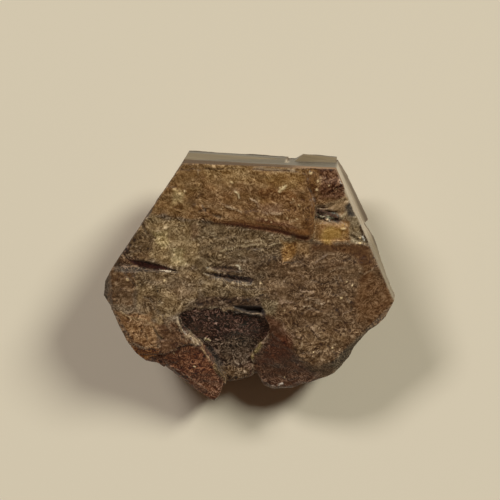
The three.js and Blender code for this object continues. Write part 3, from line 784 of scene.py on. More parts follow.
    Mark("808572", ((7.7, 6.05), (8.3, 5.95)), 0.2, 0.03, 0.2),
    Mark("ad957d", ((6.8, 7.0), (7.2, 6.9), (7.5, 6.75), (7.9, 6.95), (8.3, 7.0)), 0.14, 0.05),
    Mark("fff6eb", ((7.7, 5.75), (7.85, 5.65)), 0.24, 0.06, 0.4),
    # Painted highlight in the pocket.
    Mark("dec08d", ((9.0, 5.05), (9.4, 4.95)), 0.26, 0.05, 0.3),
    Mark("a8875b", ((6.7, 5.3), (7.6, 5.3), (8.2, 5.1), (9.0, 5.3)), 0.16, 0.03, 0.2, 0.7),
    Mark("ab9a7d", ((9.0, 5.9), (9.4, 6.3), (9.7, 6.6), (9.4, 5.9)), 0.2, 0.05),
    # Painted glint in the pocket.
    Mark("fffffd", ((11.2, 4.1), (11.3, 3.8)), 0.2, 0.05, 0.6),
)

# Painted glints, where glassy cleavage facets catch the light: the middle and width of each.
GLINTS: tuple[tuple[float, float, float], ...] = (
    (6.1, 10.6, 0.26), (6.8, 9.7, 0.22), (6.7, 8.85, 0.26), (3.1, 9.1, 0.2), (3.35, 9.35, 0.2),
    (-6.95, 8.48, 0.34), (-6.4, 8.7, 0.24), (-1.7, 9.6, 0.26), (10.95, 4.0, 0.24), (10.9, 3.45, 0.26),
    (9.1, -2.0, 0.24), (1.1, -0.7, 0.24), (3.3, -10.85, 0.2), (-4.8, -11.7, 0.16), (-5.8, -9.5, 0.22),
    (-7.9, -8.0, 0.2), (3.8, 6.0, 0.18), (2.2, 5.6, 0.16), (5.0, 7.3, 0.2), (4.3, 8.0, 0.2),
    (7.2, 5.6, 0.16), (7.7, 5.8, 0.2), (9.3, 4.95, 0.24), (-12.3, -0.4, 0.2), (1.7, 5.9, 0.18),
    (4.8, 6.0, 0.18), (2.6, 6.0, 0.16), (-8.6, -0.4, 0.3), (-8.4, 4.2, 0.2), (-7.25, 1.45, 0.3),
    (-9.05, 3.7, 0.24), (-7.6, 2.2, 0.2), (8.6, 9.0, 0.14), (8.0, 9.4, 0.14), (9.6, -0.4, 0.16),
    (10.3, -0.9, 0.16), (5.8, -8.2, 0.16), (8.2, -7.2, 0.2), (6.4, -7.7, 0.16), (-7.6, -7.6, 0.2),
    (3.4, -3.4, 0.16),
)

# Stretches that run softly into the stone round them, and how many rounds they are worn.
WORN: tuple[tuple[Outline, int], ...] = (
    (((6.3, 8.5), (8.6, 8.7), (11.0, 9.3), (11.0, 6.1), (9.2, 6.2), (9.0, 6.7), (7.9, 7.0), (6.3, 7.15)), 30),
    (((-10.4, 6.9), (-4.9, 6.2), (-4.9, 4.9), (-10.4, 5.6)), 40),
    (((-13.0, 2.4), (-11.2, 2.2), (-11.2, 0.4), (-13.0, 0.4)), 60),
    (((-4.9, 1.4), (0.6, 1.4), (0.6, -0.9), (-4.9, -0.4)), 5),
)

# The painted glints' pale colour and their gloss.
GLINT_COLOUR, GLINT_GLOSS = "f2d9ae", 0.5


# ---- The crystal ----


@dataclass
class Surface:
    """The crystal's points while they are carved and painted, all in its own frame.

    Attributes:
        place: Where each point lies, in millimetres.
        normal: Its outward direction.
        zones: Its share of each zone.
        wall_depth: The low walls of the basal side reach this deep.
        overhang: They lean out no further than this, as their normal's z.
    """

    place: np.ndarray
    normal: np.ndarray
    zones: np.ndarray
    wall_depth: float = 3.6
    overhang: float = 0.15

    @cached_property
    def upper(self) -> np.ndarray:
        """How far each point belongs to the basal side and the low walls in it, 0 to 1."""
        wall = (self.place[:, 2] > -self.wall_depth) & (self.normal[:, 2] > -self.overhang)
        return np.clip(self.zones[:, Zone.TOP.value] + self.zones[:, Zone.BREAK.value] * wall, 0, 1)

    @cached_property
    def loose(self) -> np.ndarray:
        """The places by which marks and painted glints are drawn, so that none of them is quite even."""
        return Wander(0.16, 0.7, 31).at(self.place)

    @cached_property
    def etch(self) -> np.ndarray:
        """How strongly each point is etched, where 1 is usual."""
        etch = np.ones(len(self.place))
        for tint in TINTS:
            if tint.etch != 1.0:
                etch += (tint.etch - etch) * tint.share(depth_inside(self.place, tint.outline))
        return etch

    @cached_property
    def worm(self) -> np.ndarray:
        """The worm-like etching of the basal face, about -1 to 1: thin ridges on a fine grain."""
        ridge = Grain((0.5, 0.4, 0.45), 23).at(Wander(0.3, 0.9, 21).at(self.place))
        thin = np.clip(1 - np.abs(ridge) / 0.2, -0.6, 1)
        return 0.55 * thin + Grain((0.32, 0.26, 0.28), 24, amount=0.6).at(self.place)


@dataclass(frozen=True)
class Relief:
    """What stands out of the stone and what is cut into it, with its heights in millimetres.

    Attributes:
        etching: Height of the worm-like etching.
        lump_height: Height of the lumps of the basal face.
        slab_height: How much higher they are on the slab.
        slab_edge: Where the slab starts, along y.
        lumps: The noise that they follow.
        step: Height of a terrace.
        terraces: The noise whose whole numbers are the terraces.
        swell: The broad unevenness of the basal face.
        shells: The shell-shaped unevenness of the breaks.
        chips: The finer unevenness on them.
        break_depth: Where the breaks start to get rougher, and where they are roughest.
        break_top: Share of their roughness near the basal face.
        ribs: The growth lines of the grown sides.
        fleck: How far each painted glint stands proud.
    """

    etching: float = 0.024
    lump_height: float = 0.035
    slab_height: float = 0.04
    slab_edge: tuple[float, float] = (4.8, 6.4)
    lumps: Grain = Grain((1.3, 0.9, 1.0), 2, 2)
    step: float = 0.035
    terraces: Grain = Grain((3.6, 1.6, 3.0), 8, 2, 2.2)
    swell: Grain = Grain((5.0, 2.6, 4.0), 3, 2, 0.05)
    shells: Grain = Grain(3.2, 4, 3, 0.2)
    chips: Grain = Grain(0.9, 5, 2, 0.05)
    break_depth: tuple[float, float] = (-1.5, -4.0)
    break_top: float = 0.3
    ribs: Grain = Grain((14.0, 14.0, 0.45), 6, 2, 0.012)
    fleck: float = 0.05

    def carve(self, surface: Surface) -> np.ndarray:
        """Returns where each point lies once the stone has its relief."""
        place = surface.place
        top, side, broken = surface.zones.T
        slab = ease(*self.slab_edge, place[:, 1])
        lumps = (self.lump_height + self.slab_height * slab) * self.lumps.at(place)
        terraces = self.step * np.round(self.terraces.at(place))
        etched = surface.etch * (self.etching * surface.worm + lumps + terraces) + self.swell.at(place)
        deep = ease(*self.break_depth, place[:, 2]) * (1 - self.break_top) + self.break_top
        rough = deep * (self.shells.at(place) + self.chips.at(place))
        lift = top * etched + side * self.ribs.at(place) + broken * rough
        for mark in MARKS:
            away = distance_to_line(surface.loose, mark.line) / mark.width
            lift += surface.upper * mark.lift * np.exp(-2 * away**2)
        # Each painted glint also stands slightly proud.
        for x, y, width in GLINTS:
            away = np.hypot(surface.loose[:, 0] - x, surface.loose[:, 1] - y) / width
            lift += surface.upper * self.fleck * np.exp(-3 * away**2)
        return place + surface.normal * lift[:, None]


@dataclass(frozen=True)
class BasalPaint:
    """The colour of the etched basal side, mottled in even steps of grey.

    Attributes:
        stray: The noise by which the edges of the tints wander.
        worm: How much the worm-like etching lightens the stone: lighter on its ridges and darker in its
            hollows, in step with the relief, as painted light and shade.
        fine: Fine grain.
        middle: Coarser grain.
        clouds: Soft clouds.
        speck: How light the small pale specks are.
        specks: The noise whose peaks are the specks.
        speck_edge: Where on it they start, and where they are full.
        shade: An even step that makes up for what the specks add.
        warm: The noise by which the stone is redder or greyer.
        warm_light: What that does to red, green and blue.
        patches: The noise that breaks the marks up, and where on it they fade.
    """

    stray: Grain = Grain(1.1, 11, 3)
    worm: float = 0.07
    fine: Grain = Grain(0.2, 12, 1, 0.07)
    middle: Grain = Grain(0.4, 34, 1, 0.07)
    clouds: Grain = Grain((1.3, 0.8, 1.0), 13, 2, 0.08)
    speck: float = 0.18
    specks: Grain = Grain((0.4, 0.26, 0.4), 15)
    speck_edge: tuple[float, float] = (0.42, 0.62)
    shade: float = -0.01
    warm: Grain = Grain((1.6, 0.8, 1.6), 14, 2, 0.2)
    warm_light: tuple[float, float, float] = (0.3, 0.0, -0.5)
    patches: Grain = Grain(0.5, 33)
    patch_edge: tuple[float, float] = (-0.5, 0.0)

    def lay(self, surface: Surface, colour: np.ndarray, gloss: np.ndarray) -> tuple[np.ndarray, np.ndarray]:
        """Lays the tints, the mottling, the marks and the painted glints over the broken stone.

        Args:
            surface: The points before carving.
            colour: Linear colour of each point so far.
            gloss: Gloss of each point so far.

        Returns:
            The new colour and gloss.
        """
        place, upper = surface.place, surface.upper
        stray = self.stray.at(place)
        for tint in TINTS:
            share = upper * tint.share(depth_inside(place, tint.outline) + tint.ragged * stray)
            colour = blend(colour, tint.colour, share)
            gloss = gloss + (tint.gloss - gloss) * share
        warm = 1 + (upper * self.warm.at(place))[:, None] * np.array(self.warm_light)
        colour = brighten(colour, upper * surface.etch * self._light(surface)) * warm
        patchy = upper * ease(*self.patch_edge, self.patches.at(place))
        for mark in MARKS:
            away = 2 * distance_to_line(surface.loose, mark.line) / mark.width
            share = patchy * mark.strength * ease(1.2, 0.3, away)
            colour = blend(colour, mark.colour, share)
            gloss = gloss + (mark.gloss - gloss) * share
        # Painted glints: pale, glossy spots.
        for x, y, width in GLINTS:
            away = 2 * np.hypot(surface.loose[:, 0] - x, surface.loose[:, 1] - y) / width
            share = upper * ease(1.2, 0.4, away)
            colour = blend(colour, GLINT_COLOUR, share)
            gloss = gloss + (GLINT_GLOSS - gloss) * share
        return colour, gloss

    def _light(self, surface: Surface) -> np.ndarray:
        """Returns how much lighter or darker each point is than its tint."""
        grains = sum(g.at(surface.place) for g in (self.fine, self.middle, self.clouds))
        specks = self.speck * ease(*self.speck_edge, self.specks.at(surface.place))
        # The worm term is painted light on the etching's ridges and painted shade in its hollows.
        return self.worm * surface.worm + grains + specks + self.shade


@dataclass(frozen=True)
class BreakPaint:
    """The colour of the broken stone, mottled from dark brown to amber."""

    dark: str = "4a3020"
    amber: str = "8a6038"
    mottle: Grain = Grain((3.4, 3.4, 2.2), 16, 3)
    mottle_edge: tuple[float, float] = (-0.5, 0.6)
    fine: Grain = Grain(0.5, 17, 2, 0.22)

    def colour(self, surface: Surface) -> np.ndarray:
        """Returns the linear colour of each point, were it all broken stone."""
        share = ease(*self.mottle_edge, self.mottle.at(surface.place))
        return blend(self.dark, self.amber, share) * (1 + self.fine.at(surface.place))[:, None]


@dataclass(frozen=True)
class SidePaint:
    """The three grown side faces: glassy where whole, frosted along their top edge.

    The growth steps on them are tilted; they are painted paler than the upright faces, as painted light,
    since they catch more of the lamps. The right face is painted paler than the back one, and palest at
    its back end, partly as painted reflection of the pale paper. Low down the faces are painted darker, as
    painted shade, from higher up on the right face. The left face is dark.

    Attributes:
        back: The upright back face.
        right_front: The front end of the upright right face.
        right_back: Its back end.
        back_step: The tilted steps on the back face, painted paler as painted light.
        right_front_step: Those on the right face, at its front end.
        right_back_step: Those at its back end.
        frost: The frosted strip at the top of the back face.
        frost_right: Its right end.
        left: The left face.
        low_painted_shade: How much darker red, green and blue are painted low on the right face, as painted
            shade.
        lines: The growth lines.
        shine: Gloss of the whole faces.
        frost_matt: How much less the frosted strip and the left face have.
        low_matt: How much less the low part of the right face has.
    """

    back: str = "2e251a"
    right_front: str = "766650"
    right_back: str = "b6a898"
    back_step: str = "6b5d46"
    right_front_step: str = "7c6d56"
    right_back_step: str = "9c8d7c"
    frost: str = "4d351c"
    frost_right: str = "8d6f55"
    left: str = "3a2415"
    low_painted_shade: tuple[float, float, float] = (0.7, 0.76, 0.82)
    lines: Grain = Grain((12.0, 12.0, 0.9), 18, 2, 0.03)
    shine: float = 0.6
    frost_matt: float = 1.4
    low_matt: float = 0.7

    def lay(self, surface: Surface, colour: np.ndarray, gloss: np.ndarray) -> tuple[np.ndarray, np.ndarray]:
        """Lays the grown sides over the colour and gloss so far.

        Args:
            surface: The points before carving.
            colour: Linear colour of each point so far.
            gloss: Gloss of each point so far.

        Returns:
            The new colour and gloss.
        """
        x, y, z = surface.place.T
        tilted = ease(0.04, 0.2, surface.normal[:, 2])
        right = ease(0.5, 0.7, surface.normal[:, 0])
        back_end = ease(2.6, 4.4, y)
        # Painted light: the tilted steps are paler than the upright faces, the right face partly as painted
        # reflection.
        upright = blend(self.back, blend(self.right_front, self.right_back, back_end), right)
        steps = blend(self.back_step, blend(self.right_front_step, self.right_back_step, back_end), right)
        body = blend(upright, steps, tilted)
        # Painted shade low on the faces.
        low = ease(4.4, 5.2, 1.2 * right * ease(1.0, 3.0, y) - z)
        body = brighten(body * (1 - np.array(self.low_painted_shade) * low[:, None]), self.lines.at(surface.place))
        frosted = self._frost(surface)
        left = ease(-5.9, -6.9, x) * ease(10.9, 10.2, y)
        body = blend(body, blend(self.frost, self.frost_right, ease(3.5, 6.0, x)), frosted)
        body = blend(body, self.left, left)
        shine = self.shine - self.frost_matt * np.maximum(frosted, left) - self.low_matt * low
        side = surface.zones[:, Zone.GROWN_SIDE.value]
        return blend(colour, body, side), gloss + (shine - gloss) * side

    @staticmethod
    def _frost(surface: Surface) -> np.ndarray:
        """Returns where the back face is frosted: a strip under its top edge, deepest at its left end."""
        x, y, z = surface.place.T
        depth = np.clip(1.9 - 0.11 * (x + 6.6), 0.35, 2.4) + Grain(1.4, 19, 2, 0.15).at(surface.place)
        return ease(depth + 0.25, depth - 0.1, -z) * (y > 9.0)


@dataclass
class CrystalBody:
    """The whole crystal as one fine mesh.

    Attributes:
        lie: How it lies.
        relief: What is carved into it.
        basal: The paint of its basal side.
        broken: The paint of its breaks.
        sides: The paint of its grown sides.
        fine: Mesh spacing on the basal side, in millimetres.
        coarse: Mesh spacing everywhere else.
        top_slope: A face belongs to the basal side if its normal's z is over this.
        top_depth: The basal side reaches this deep.
        grown: The three grown side faces, each as the azimuth it faces and its distance.
        worn_angle: Edges of the basal side sharper than this are worn, in degrees.
        sharp_angle: Edges sharper than this are shaded as edges, in degrees.
        front_etch: How much more the walls that face the front show the fine etching.
        break_etch: How much the breaks show it.
    """

    lie: Lie = field(default_factory=Lie)
    relief: Relief = field(default_factory=Relief)
    basal: BasalPaint = field(default_factory=BasalPaint)
    broken: BreakPaint = field(default_factory=BreakPaint)
    sides: SidePaint = field(default_factory=SidePaint)
    fine: float = 0.115
    coarse: float = 0.3
    top_slope: float = 0.3
    top_depth: float = 4.0
    grown: tuple[tuple[float, float], ...] = ((145.8, 11.92), (88.12, 11.28), (23.4, 12.26))
    worn_angle: float = 14.0
    sharp_angle: float = 50.0
    front_etch: float = 0.8
    break_etch: float = 0.8

    def build(self) -> bpy.types.Object:
        """Makes the crystal's object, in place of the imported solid.

        Returns:
            The object, riding on the root body.
        """
        mesh = self._copy_of_solid()
        self._mark_zones(mesh)
        self._cut_finely(mesh)
        self._wear_edges(mesh)
        surface = self._read(mesh)
        self._paint(mesh, surface)
        for vert, place in zip(mesh.verts, self.relief.carve(surface)):
            vert.co = place
        return self._finish(mesh)

    def _copy_of_solid(self) -> bmesh.types.BMesh:
        """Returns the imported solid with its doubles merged, in the crystal's frame."""
        mesh = bmesh.new()
        mesh.from_mesh(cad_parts[NODE].data)
        mesh.transform(self.lie.to_world.inverted())
        bmesh.ops.remove_doubles(mesh, verts=mesh.verts, dist=0.002)
        bmesh.ops.dissolve_limit(mesh, angle_limit=math.radians(0.5), verts=mesh.verts, edges=mesh.edges)
        return mesh

    def _is_grown(self, face: bmesh.types.BMFace) -> bool:
        """Returns whether a face lies on a grown side, or on a growth step that stands out of it."""
        middle = face.calc_center_median()
        for azimuth, distance in self.grown:
            facing = Vector((math.cos(math.radians(azimuth)), math.sin(math.radians(azimuth)), 0))
            if middle.dot(facing) > distance - 0.03 and face.normal.z > -0.3:
                return True
        return False

    def _mark_zones(self, mesh: bmesh.types.BMesh) -> None:
        """Stores each face's zone in a face layer, which cutting hands on."""
        layer = mesh.faces.layers.int.new("zone")
        mesh.normal_update()
        for face in mesh.faces:
            if self._is_grown(face):
                face[layer] = Zone.GROWN_SIDE.value
            elif face.normal.z > self.top_slope and face.calc_center_median().z > -self.top_depth:
                face[layer] = Zone.TOP.value
            else:
                face[layer] = Zone.BREAK.value

    def _cut_finely(self, mesh: bmesh.types.BMesh) -> None:
        """Cuts the faces on an even grid, finer on the basal side, and closes what merging opens."""
        layer = mesh.faces.layers.int["zone"]
        for axis in range(3):
            top = [f for f in mesh.faces if f[layer] == Zone.TOP.value]
            rest = [f for f in mesh.faces if f[layer] != Zone.TOP.value]
            self._slice(mesh, top, axis, self.fine)
            self._slice(mesh, rest, axis, self.coarse)
        bmesh.ops.remove_doubles(mesh, verts=mesh.verts, dist=self.fine * 0.22)
        bmesh.ops.dissolve_degenerate(mesh, edges=mesh.edges, dist=self.fine * 0.05)
        stray = [v for v in mesh.verts if not v.link_faces]
        bmesh.ops.delete(mesh, geom=stray, context="VERTS")
        bmesh.ops.holes_fill(mesh, edges=[e for e in mesh.edges if e.is_boundary])
        bmesh.ops.triangulate(mesh, faces=mesh.faces)
        mesh.normal_update()

    @staticmethod
    def _slice(mesh: bmesh.types.BMesh, faces: list[bmesh.types.BMFace], axis: int, step: float) -> None:
        """Cuts faces by evenly spaced planes square to an axis, halving the stack of planes each time.

        Args:
            mesh: The mesh.
            faces: The faces to cut.
            axis: 0, 1 or 2.
            step: The spacing of the planes.
        """
        if not faces:
            return
        places = [v.co[axis] for f in faces for v in f.verts]
        direction = Vector([float(i == axis) for i in range(3)])
        pending = [(faces, math.ceil(min(places) / step), math.floor(max(places) / step))]
        while pending:
            faces, first, last = pending.pop()
            if first > last or not faces:
                continue
            middle = (first + last) // 2
            cut = bmesh.ops.bisect_plane(
                mesh,
                geom=[*{e for f in faces for e in f.edges}, *faces],
                dist=step * 0.02,
                plane_co=direction * middle * step,
                plane_no=direction,
            )
            halves = ([], [])
            for piece in cut["geom"]:
                if isinstance(piece, bmesh.types.BMFace):
                    halves[piece.calc_center_median()[axis] > middle * step].append(piece)
            pending.append((halves[0], first, middle - 1))
            pending.append((halves[1], middle + 1, last))

    def _wear_edges(self, mesh: bmesh.types.BMesh) -> None:
        """Rounds the sharp edges of the basal side by about one cell, and the worn stretches further."""
        layer = mesh.faces.layers.int["zone"]
        worn = set()
        for edge in mesh.edges:
            on_top = any(f[layer] == Zone.TOP.value for f in edge.link_faces)
            if on_top and edge.is_manifold and edge.calc_face_angle() > math.radians(self.worn_angle):
                worn.update(edge.verts)
        stretches = [(worn, 2)]
        for outline, rounds in WORN:
            (left, front), (right, back) = np.min(outline, axis=0), np.max(outline, axis=0)
            near = [v for v in mesh.verts if v.co.z > -1 and left < v.co.x < right and front < v.co.y < back]
            inside = depth_inside(np.array([v.co for v in near]), outline) > 0
            stretches.append(([v for v, keep in zip(near, inside) if keep], rounds))
        for verts, rounds in stretches:
            for _ in range(rounds):
                bmesh.ops.smooth_vert(
                    mesh, verts=list(verts), factor=0.5, use_axis_x=True, use_axis_y=True, use_axis_z=True
                )
        mesh.normal_update()

    @staticmethod
    def _read(mesh: bmesh.types.BMesh) -> Surface:
        """Reads the mesh into arrays."""
        layer = mesh.faces.layers.int["zone"]
        mesh.verts.ensure_lookup_table()
        zones = np.zeros((len(mesh.verts), len(Zone)))
        for vert in mesh.verts:
            for face in vert.link_faces:
                zones[vert.index, face[layer]] += 1
        return Surface(
            place=np.array([v.co for v in mesh.verts]),
            normal=np.array([v.normal for v in mesh.verts]),
            zones=zones / zones.sum(axis=1, keepdims=True),
        )

    def _paint(self, mesh: bmesh.types.BMesh, surface: Surface) -> None:
        """Stores each point's colour, gloss, etching and striae for the material to read.

        Args:
            mesh: The mesh to paint.
            surface: Its points before carving.
        """
        broken, side = surface.zones[:, Zone.BREAK.value], surface.zones[:, Zone.GROWN_SIDE.value]
        colour, gloss = self.basal.lay(surface, self.broken.colour(surface), -broken)
        colour, gloss = self.sides.lay(surface, colour, gloss)
        front = 1 + self.front_etch * ease(-0.05, -0.35, surface.normal[:, 1])
        etched = surface.upper * surface.etch * front + self.break_etch * broken
        tints = mesh.verts.layers.float_color.new("tint")
        layers = [mesh.verts.layers.float.new(name) for name in ("gloss", "etch", "striae")]
        values = np.stack([np.clip(gloss, -1, 1), etched, side], axis=1)
        for vert, rgb, row in zip(mesh.verts, np.clip(colour, 0.004, 0.95), values):
            vert[tints] = (*rgb, 1.0)
            for layer, value in zip(layers, row):
                vert[layer] = value

    def _finish(self, mesh: bmesh.types.BMesh) -> bpy.types.Object:
        """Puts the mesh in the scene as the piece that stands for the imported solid."""
        mesh.transform(self.lie.to_world)
        for vert in mesh.verts:
            vert.co.z = max(vert.co.z, 0.0)
        for face in mesh.faces:
            face.smooth = True
        for edge in mesh.edges:
            edge.smooth = edge.is_manifold and edge.calc_face_angle() < math.radians(self.sharp_angle)
        data = bpy.data.meshes.new("crystal")
        mesh.to_mesh(data)
        mesh.free()
        data.materials.append(Bastnasite().material())
        piece = add_object("crystal", data)
        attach(piece, "root")
        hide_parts(NODE)
        return piece


# Bastnasite, naturally etched: the acid-frosted basal face scatters the light and looks dry, dirty
# and brown, while the glassy grown sides mirror the paper and look grey, with fine growth lines.
@dataclass(frozen=True)
class Bastnasite:
    """Bastnasite, a brown rare earth carbonate: etched and frosted on the basal face, glassy on the sides.

    The real stone's finest etch pits and grains are a few hundredths of a millimetre across. They are
    drawn coarser here, as fine as they still show.

    Attributes:
        ior: Its index of refraction.
        frosted: Roughness where the paint says no gloss.
        glassy: Roughness where it says full gloss; a gloss of -1 is as far beyond frosted, and matt.
        swirl_size: Size of the swirls that the fine etch lines follow, in millimetres.
        swirl_turns: How closely the lines lie in them.
        line_light: How much paler and darker they are, where 1 leads from black to white.
        patch_size: Size of the patches that hold many lines or few.
        grain_size: Size of the finest grain.
        grain_light: How much lighter or darker it is.
        striae_size: Spacing of the growth lines on the sides.
        striae_light: How much lighter or darker they are.
        striae_shape: Draws the lines out round the crystal, square to its c axis.
        darkest: No fine line is darker than this, as the eye sees it.
        pit_size: Size of the pits that the bump stands for.
        pit_depth: Their depth.
    """

    ior: float = 1.74
    frosted: float = 0.5
    glassy: float = 0.14
    swirl_size: float = 0.8
    swirl_turns: float = 42.0
    line_light: float = 0.14
    patch_size: float = 1.5
    grain_size: float = 0.15
    grain_light: float = 0.46
    striae_size: float = 0.5
    striae_light: float = 0.09
    striae_shape: tuple[float, float, float] = (0.03, 0.03, 1.0)
    darkest: tuple[float, float, float] = (0.05, 0.05, 0.05)
    pit_size: float = 0.16
    pit_depth: float = 0.02

    def material(self) -> bpy.types.Material:
        """Makes the material, whose colour, gloss and etching are painted on the mesh."""
        material = bpy.data.materials.new("etched brown bastnasite")
        material.use_nodes = True
        tree = material.node_tree
        tree.nodes.clear()
        place = add_node(tree, "ShaderNodeTexCoord").outputs["Object"]
        gloss = add_node(tree, "ShaderNodeAttribute", attribute_name="gloss").outputs["Fac"]
        matt = 2 * self.frosted - self.glassy
        rough = add_node(
            tree,
            "ShaderNodeMapRange",
            {"Value": gloss, "From Min": -1.0, "To Min": matt, "To Max": self.glassy},
        )
        pits = add_node(
            tree, "ShaderNodeTexNoise", {"Vector": place, "Scale": per_grain(self.pit_size), "Detail": 2.0}
        )
        frost = add_node(tree, "ShaderNodeMath", {0: 1.0, 1: gloss}, operation="SUBTRACT")
        bump = add_node(
            tree, "ShaderNodeBump", {"Strength": frost, "Distance": self.pit_depth * MM, "Height": pits}
        )
        colour = self._colour(tree, place)
        shader = add_node(
            tree,
            "ShaderNodeBsdfPrincipled",
            {"Base Color": colour, "Roughness": rough, "IOR": self.ior, "Normal": bump},
        )
        add_node(tree, "ShaderNodeOutputMaterial", {"Surface": shader})
        return material

    def _colour(self, tree: Tree, place: bpy.types.NodeSocket) -> Node:
        """Lays etch lines, fine grain and growth lines over the painted colour, in even steps of grey.

        Args:
            tree: The node tree.
            place: Object coordinates.

        Returns:
            The node that gives the colour.
        """
        tint = add_node(tree, "ShaderNodeAttribute", attribute_name="tint").outputs["Color"]
        etch = add_node(tree, "ShaderNodeAttribute", attribute_name="etch").outputs["Fac"]
        lines = self._etch_lines(tree, place)
        grain = add_node(
            tree, "ShaderNodeTexNoise", {"Vector": place, "Scale": per_grain(self.grain_size), "Detail": 2.0}
        )
        half = self.grain_light / 2
        grains = add_node(tree, "ShaderNodeMapRange", {"Value": grain, "To Min": -half, "To Max": half})
        both = add_node(tree, "ShaderNodeMath", {0: lines, 1: grains}, operation="ADD")
        etched = add_node(tree, "ShaderNodeMath", {0: both, 1: etch}, operation="MULTIPLY")
        striae = self._striae(tree, place)
        step = add_node(tree, "ShaderNodeMath", {0: striae, 1: etched}, operation="ADD")
        seen = add_node(tree, "ShaderNodeGamma", {"Color": tint, "Gamma": 1 / EYE_GAMMA})
        lifted = add_node(tree, "ShaderNodeVectorMath", {0: seen, 1: step}, operation="ADD")
        kept = add_node(tree, "ShaderNodeVectorMath", {0: lifted, 1: self.darkest}, operation="MAXIMUM")
        return add_node(tree, "ShaderNodeGamma", {"Color": kept, "Gamma": EYE_GAMMA})

    def _etch_lines(self, tree: Tree, place: bpy.types.NodeSocket) -> Node:
        """Adds pale swirling lines, as many in one patch and few in the next.

        Args:
            tree: The node tree.
            place: Object coordinates.

        Returns:
            The node that gives the step of grey they make.
        """
        course = add_node(
            tree,
            "ShaderNodeTexNoise",
            {"Vector": place, "Scale": per_grain(self.swirl_size), "Detail": 1.5, "Distortion": 0.8},
        )
        turns = add_node(tree, "ShaderNodeMath", {0: course, 1: self.swirl_turns}, operation="MULTIPLY")
        wave = add_node(tree, "ShaderNodeMath", {0: turns}, operation="SINE")
        line = add_node(
            tree,
            "ShaderNodeMapRange",
            {"Value": wave, "From Min": -0.6, "To Min": -0.6 * self.line_light, "To Max": self.line_light},
        )
        patch = add_node(
            tree, "ShaderNodeTexNoise", {"Vector": place, "Scale": per_grain(self.patch_size), "Detail": 2.0}
        )
        share = add_node(
            tree, "ShaderNodeMapRange", {"Value": patch, "From Min": 0.35, "From Max": 0.6, "To Min": 0.3}
        )
        return add_node(tree, "ShaderNodeMath", {0: line, 1: share}, operation="MULTIPLY")

    def _striae(self, tree: Tree, place: bpy.types.NodeSocket) -> Node:
        """Adds the fine growth lines that run round the sides, square to the c axis.

        Args:
            tree: The node tree.
            place: Object coordinates.

        Returns:
            The node that gives the step of grey they make.
        """
        share = add_node(tree, "ShaderNodeAttribute", attribute_name="striae").outputs["Fac"]
        upright = add_node(
            tree,
            "ShaderNodeMapping",
            {"Vector": place, "Rotation": Lie().turn.inverted().to_euler(), "Scale": self.striae_shape},
        )
        lines = add_node(
            tree,
            "ShaderNodeTexNoise",
            {"Vector": upright, "Scale": per_grain(self.striae_size), "Detail": 3.0},
        )
        low, high = -self.striae_light, self.striae_light
        step = add_node(
            tree,
            "ShaderNodeMapRange",
            {"Value": lines, "From Min": 0.25, "From Max": 0.75, "To Min": low, "To Max": high},
        )
        return add_node(tree, "ShaderNodeMath", {0: step, 1: share}, operation="MULTIPLY")


# ---- What it lies on, the light and the camera ----


# Uncoated paper: pale and quite matt, with hardly any sheen, so the crystal's shadows read softly.
@dataclass(frozen=True)
class Paper:
    """The pale sheet under the crystal."""

    size: float = 3.0
    colour: str = "e9e4da"
    roughness: float = 0.9
    specular: float = 0.1

    def build(self) -> bpy.types.Object:
        """Makes the floor."""
        mesh = bmesh.new()
        bmesh.ops.create_grid(mesh, x_segments=1, y_segments=1, size=self.size / 2)
        data = bpy.data.meshes.new("paper")
        mesh.to_mesh(data)
        mesh.free()
        material = bpy.data.materials.new("pale uncoated paper")
        material.use_nodes = True
        shader = material.node_tree.nodes["Principled BSDF"]
        shader.inputs["Base Color"].default_value = linear(self.colour)
        shader.inputs["Roughness"].default_value = self.roughness
        shader.inputs["Specular IOR Level"].default_value = self.specular
        data.materials.append(material)
        sheet = add_object("paper", data)
        return sheet


@dataclass(frozen=True)
class Lamp:
    """A large soft lamp, far off.

    Attributes:
        name: Its name.
        azimuth: Where it stands, in degrees from +X.
        elevation: Its height above the horizon, in degrees.
        irradiance: What it gives a surface that faces it.
        colour: Linear red, green and blue.
        half_angles: Half of what it fills of the sky, in degrees, across and up.
        distance: How far it stands from the crystal, in metres.
    """

    name: str
    azimuth: float
    elevation: float
    irradiance: float
    colour: tuple[float, float, float]
    half_angles: tuple[float, float]
    distance: float = 4.0

    def build(self) -> bpy.types.Object:
        """Makes the lamp."""
        data = bpy.data.lights.new(self.name, "AREA")
        data.shape = "ELLIPSE"
        data.size, data.size_y = (2 * self.distance * math.tan(math.radians(a)) for a in self.half_angles)
        data.energy = self.irradiance * math.pi * self.distance**2
        data.color = self.colour
        azimuth, elevation = math.radians(self.azimuth), math.radians(self.elevation)
        flat = math.cos(elevation)
        towards = Vector((flat * math.cos(azimuth), flat * math.sin(azimuth), math.sin(elevation)))
        lamp = add_object(self.name, data)
        lamp.location = towards * self.distance
        lamp.rotation_euler = towards.to_track_quat("Z", "Y").to_euler()
        return lamp


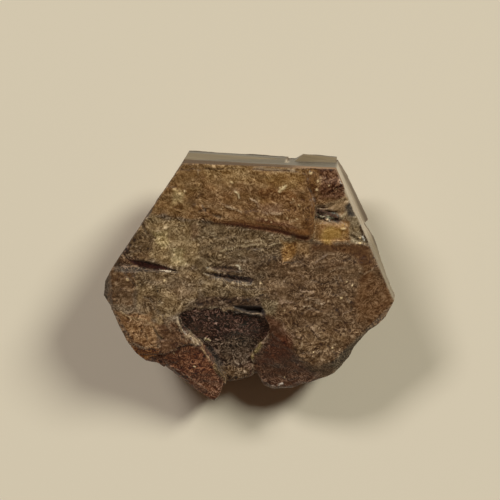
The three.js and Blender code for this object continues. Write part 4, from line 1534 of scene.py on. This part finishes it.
@dataclass(frozen=True)
class Studio:
    """The light of the room and the camera above the crystal.

    Attributes:
        lamps: Two soft lamps behind the crystal, one on either side.
        ambient: Linear light of the room.
        camera_from_face: Where the camera is from the middle of the basal face, in millimetres.
        camera_right: Its right.
        camera_up: Its up.
        frame_width: What it sees at the distance of the face, in millimetres.
        sensor: Width of its sensor, in millimetres.
    """

    lamps: tuple[Lamp, ...] = (
        Lamp("right lamp", 37.1, 36.8, 2.28, (1.0, 0.965, 0.775), (7.2, 9.8)),
        Lamp("left lamp", 127.4, 38.7, 1.58, (1.0, 0.925, 0.805), (11.7, 6.6)),
    )
    ambient: tuple[float, float, float] = (0.06, 0.035, 0.02)
    camera_from_face: tuple[float, float, float] = (36.256, 3.239, 217.389)
    camera_right: tuple[float, float, float] = (0.9862, 0.016, -0.1647)
    camera_up: tuple[float, float, float] = (-0.0162, 0.9999, 0.0)
    frame_width: float = 50.0
    sensor: float = 36.0

    def build(self) -> None:
        """Makes the lamps, the world and the camera."""
        for lamp in self.lamps:
            lamp.build()
        world = bpy.data.worlds.new("room")
        world.use_nodes = True
        background = world.node_tree.nodes["Background"]
        background.inputs["Color"].default_value = (*self.ambient, 1.0)
        background.inputs["Strength"].default_value = 1.0
        bpy.context.scene.world = world
        bpy.context.scene.view_settings.view_transform = "Standard"
        place = Vector(self.camera_from_face)
        right, up = Vector(self.camera_right).normalized(), Vector(self.camera_up).normalized()
        data = bpy.data.cameras.new("camera")
        data.sensor_width = self.sensor
        data.lens = self.sensor * place.length / self.frame_width
        data.clip_start = 0.01
        camera = add_object("camera", data)
        turn = Matrix((right, up, right.cross(up))).transposed().to_4x4()
        middle = Vector(Lie().face_middle)
        camera.matrix_world = Matrix.Translation((middle + place) * MM) @ turn
        bpy.context.scene.camera = camera


def main() -> None:
    """Builds the stage and the crystal, and reports each piece."""
    studio = Studio()
    studio.build()
    log.info("studio: %d lamps", len(studio.lamps))
    sheet = Paper().build()
    log.info("%s: laid out", sheet.name)
    piece = CrystalBody().build()
    log.info("%s: %d triangles", piece.name, len(piece.data.polygons))


if __name__ == "__main__":
    main()
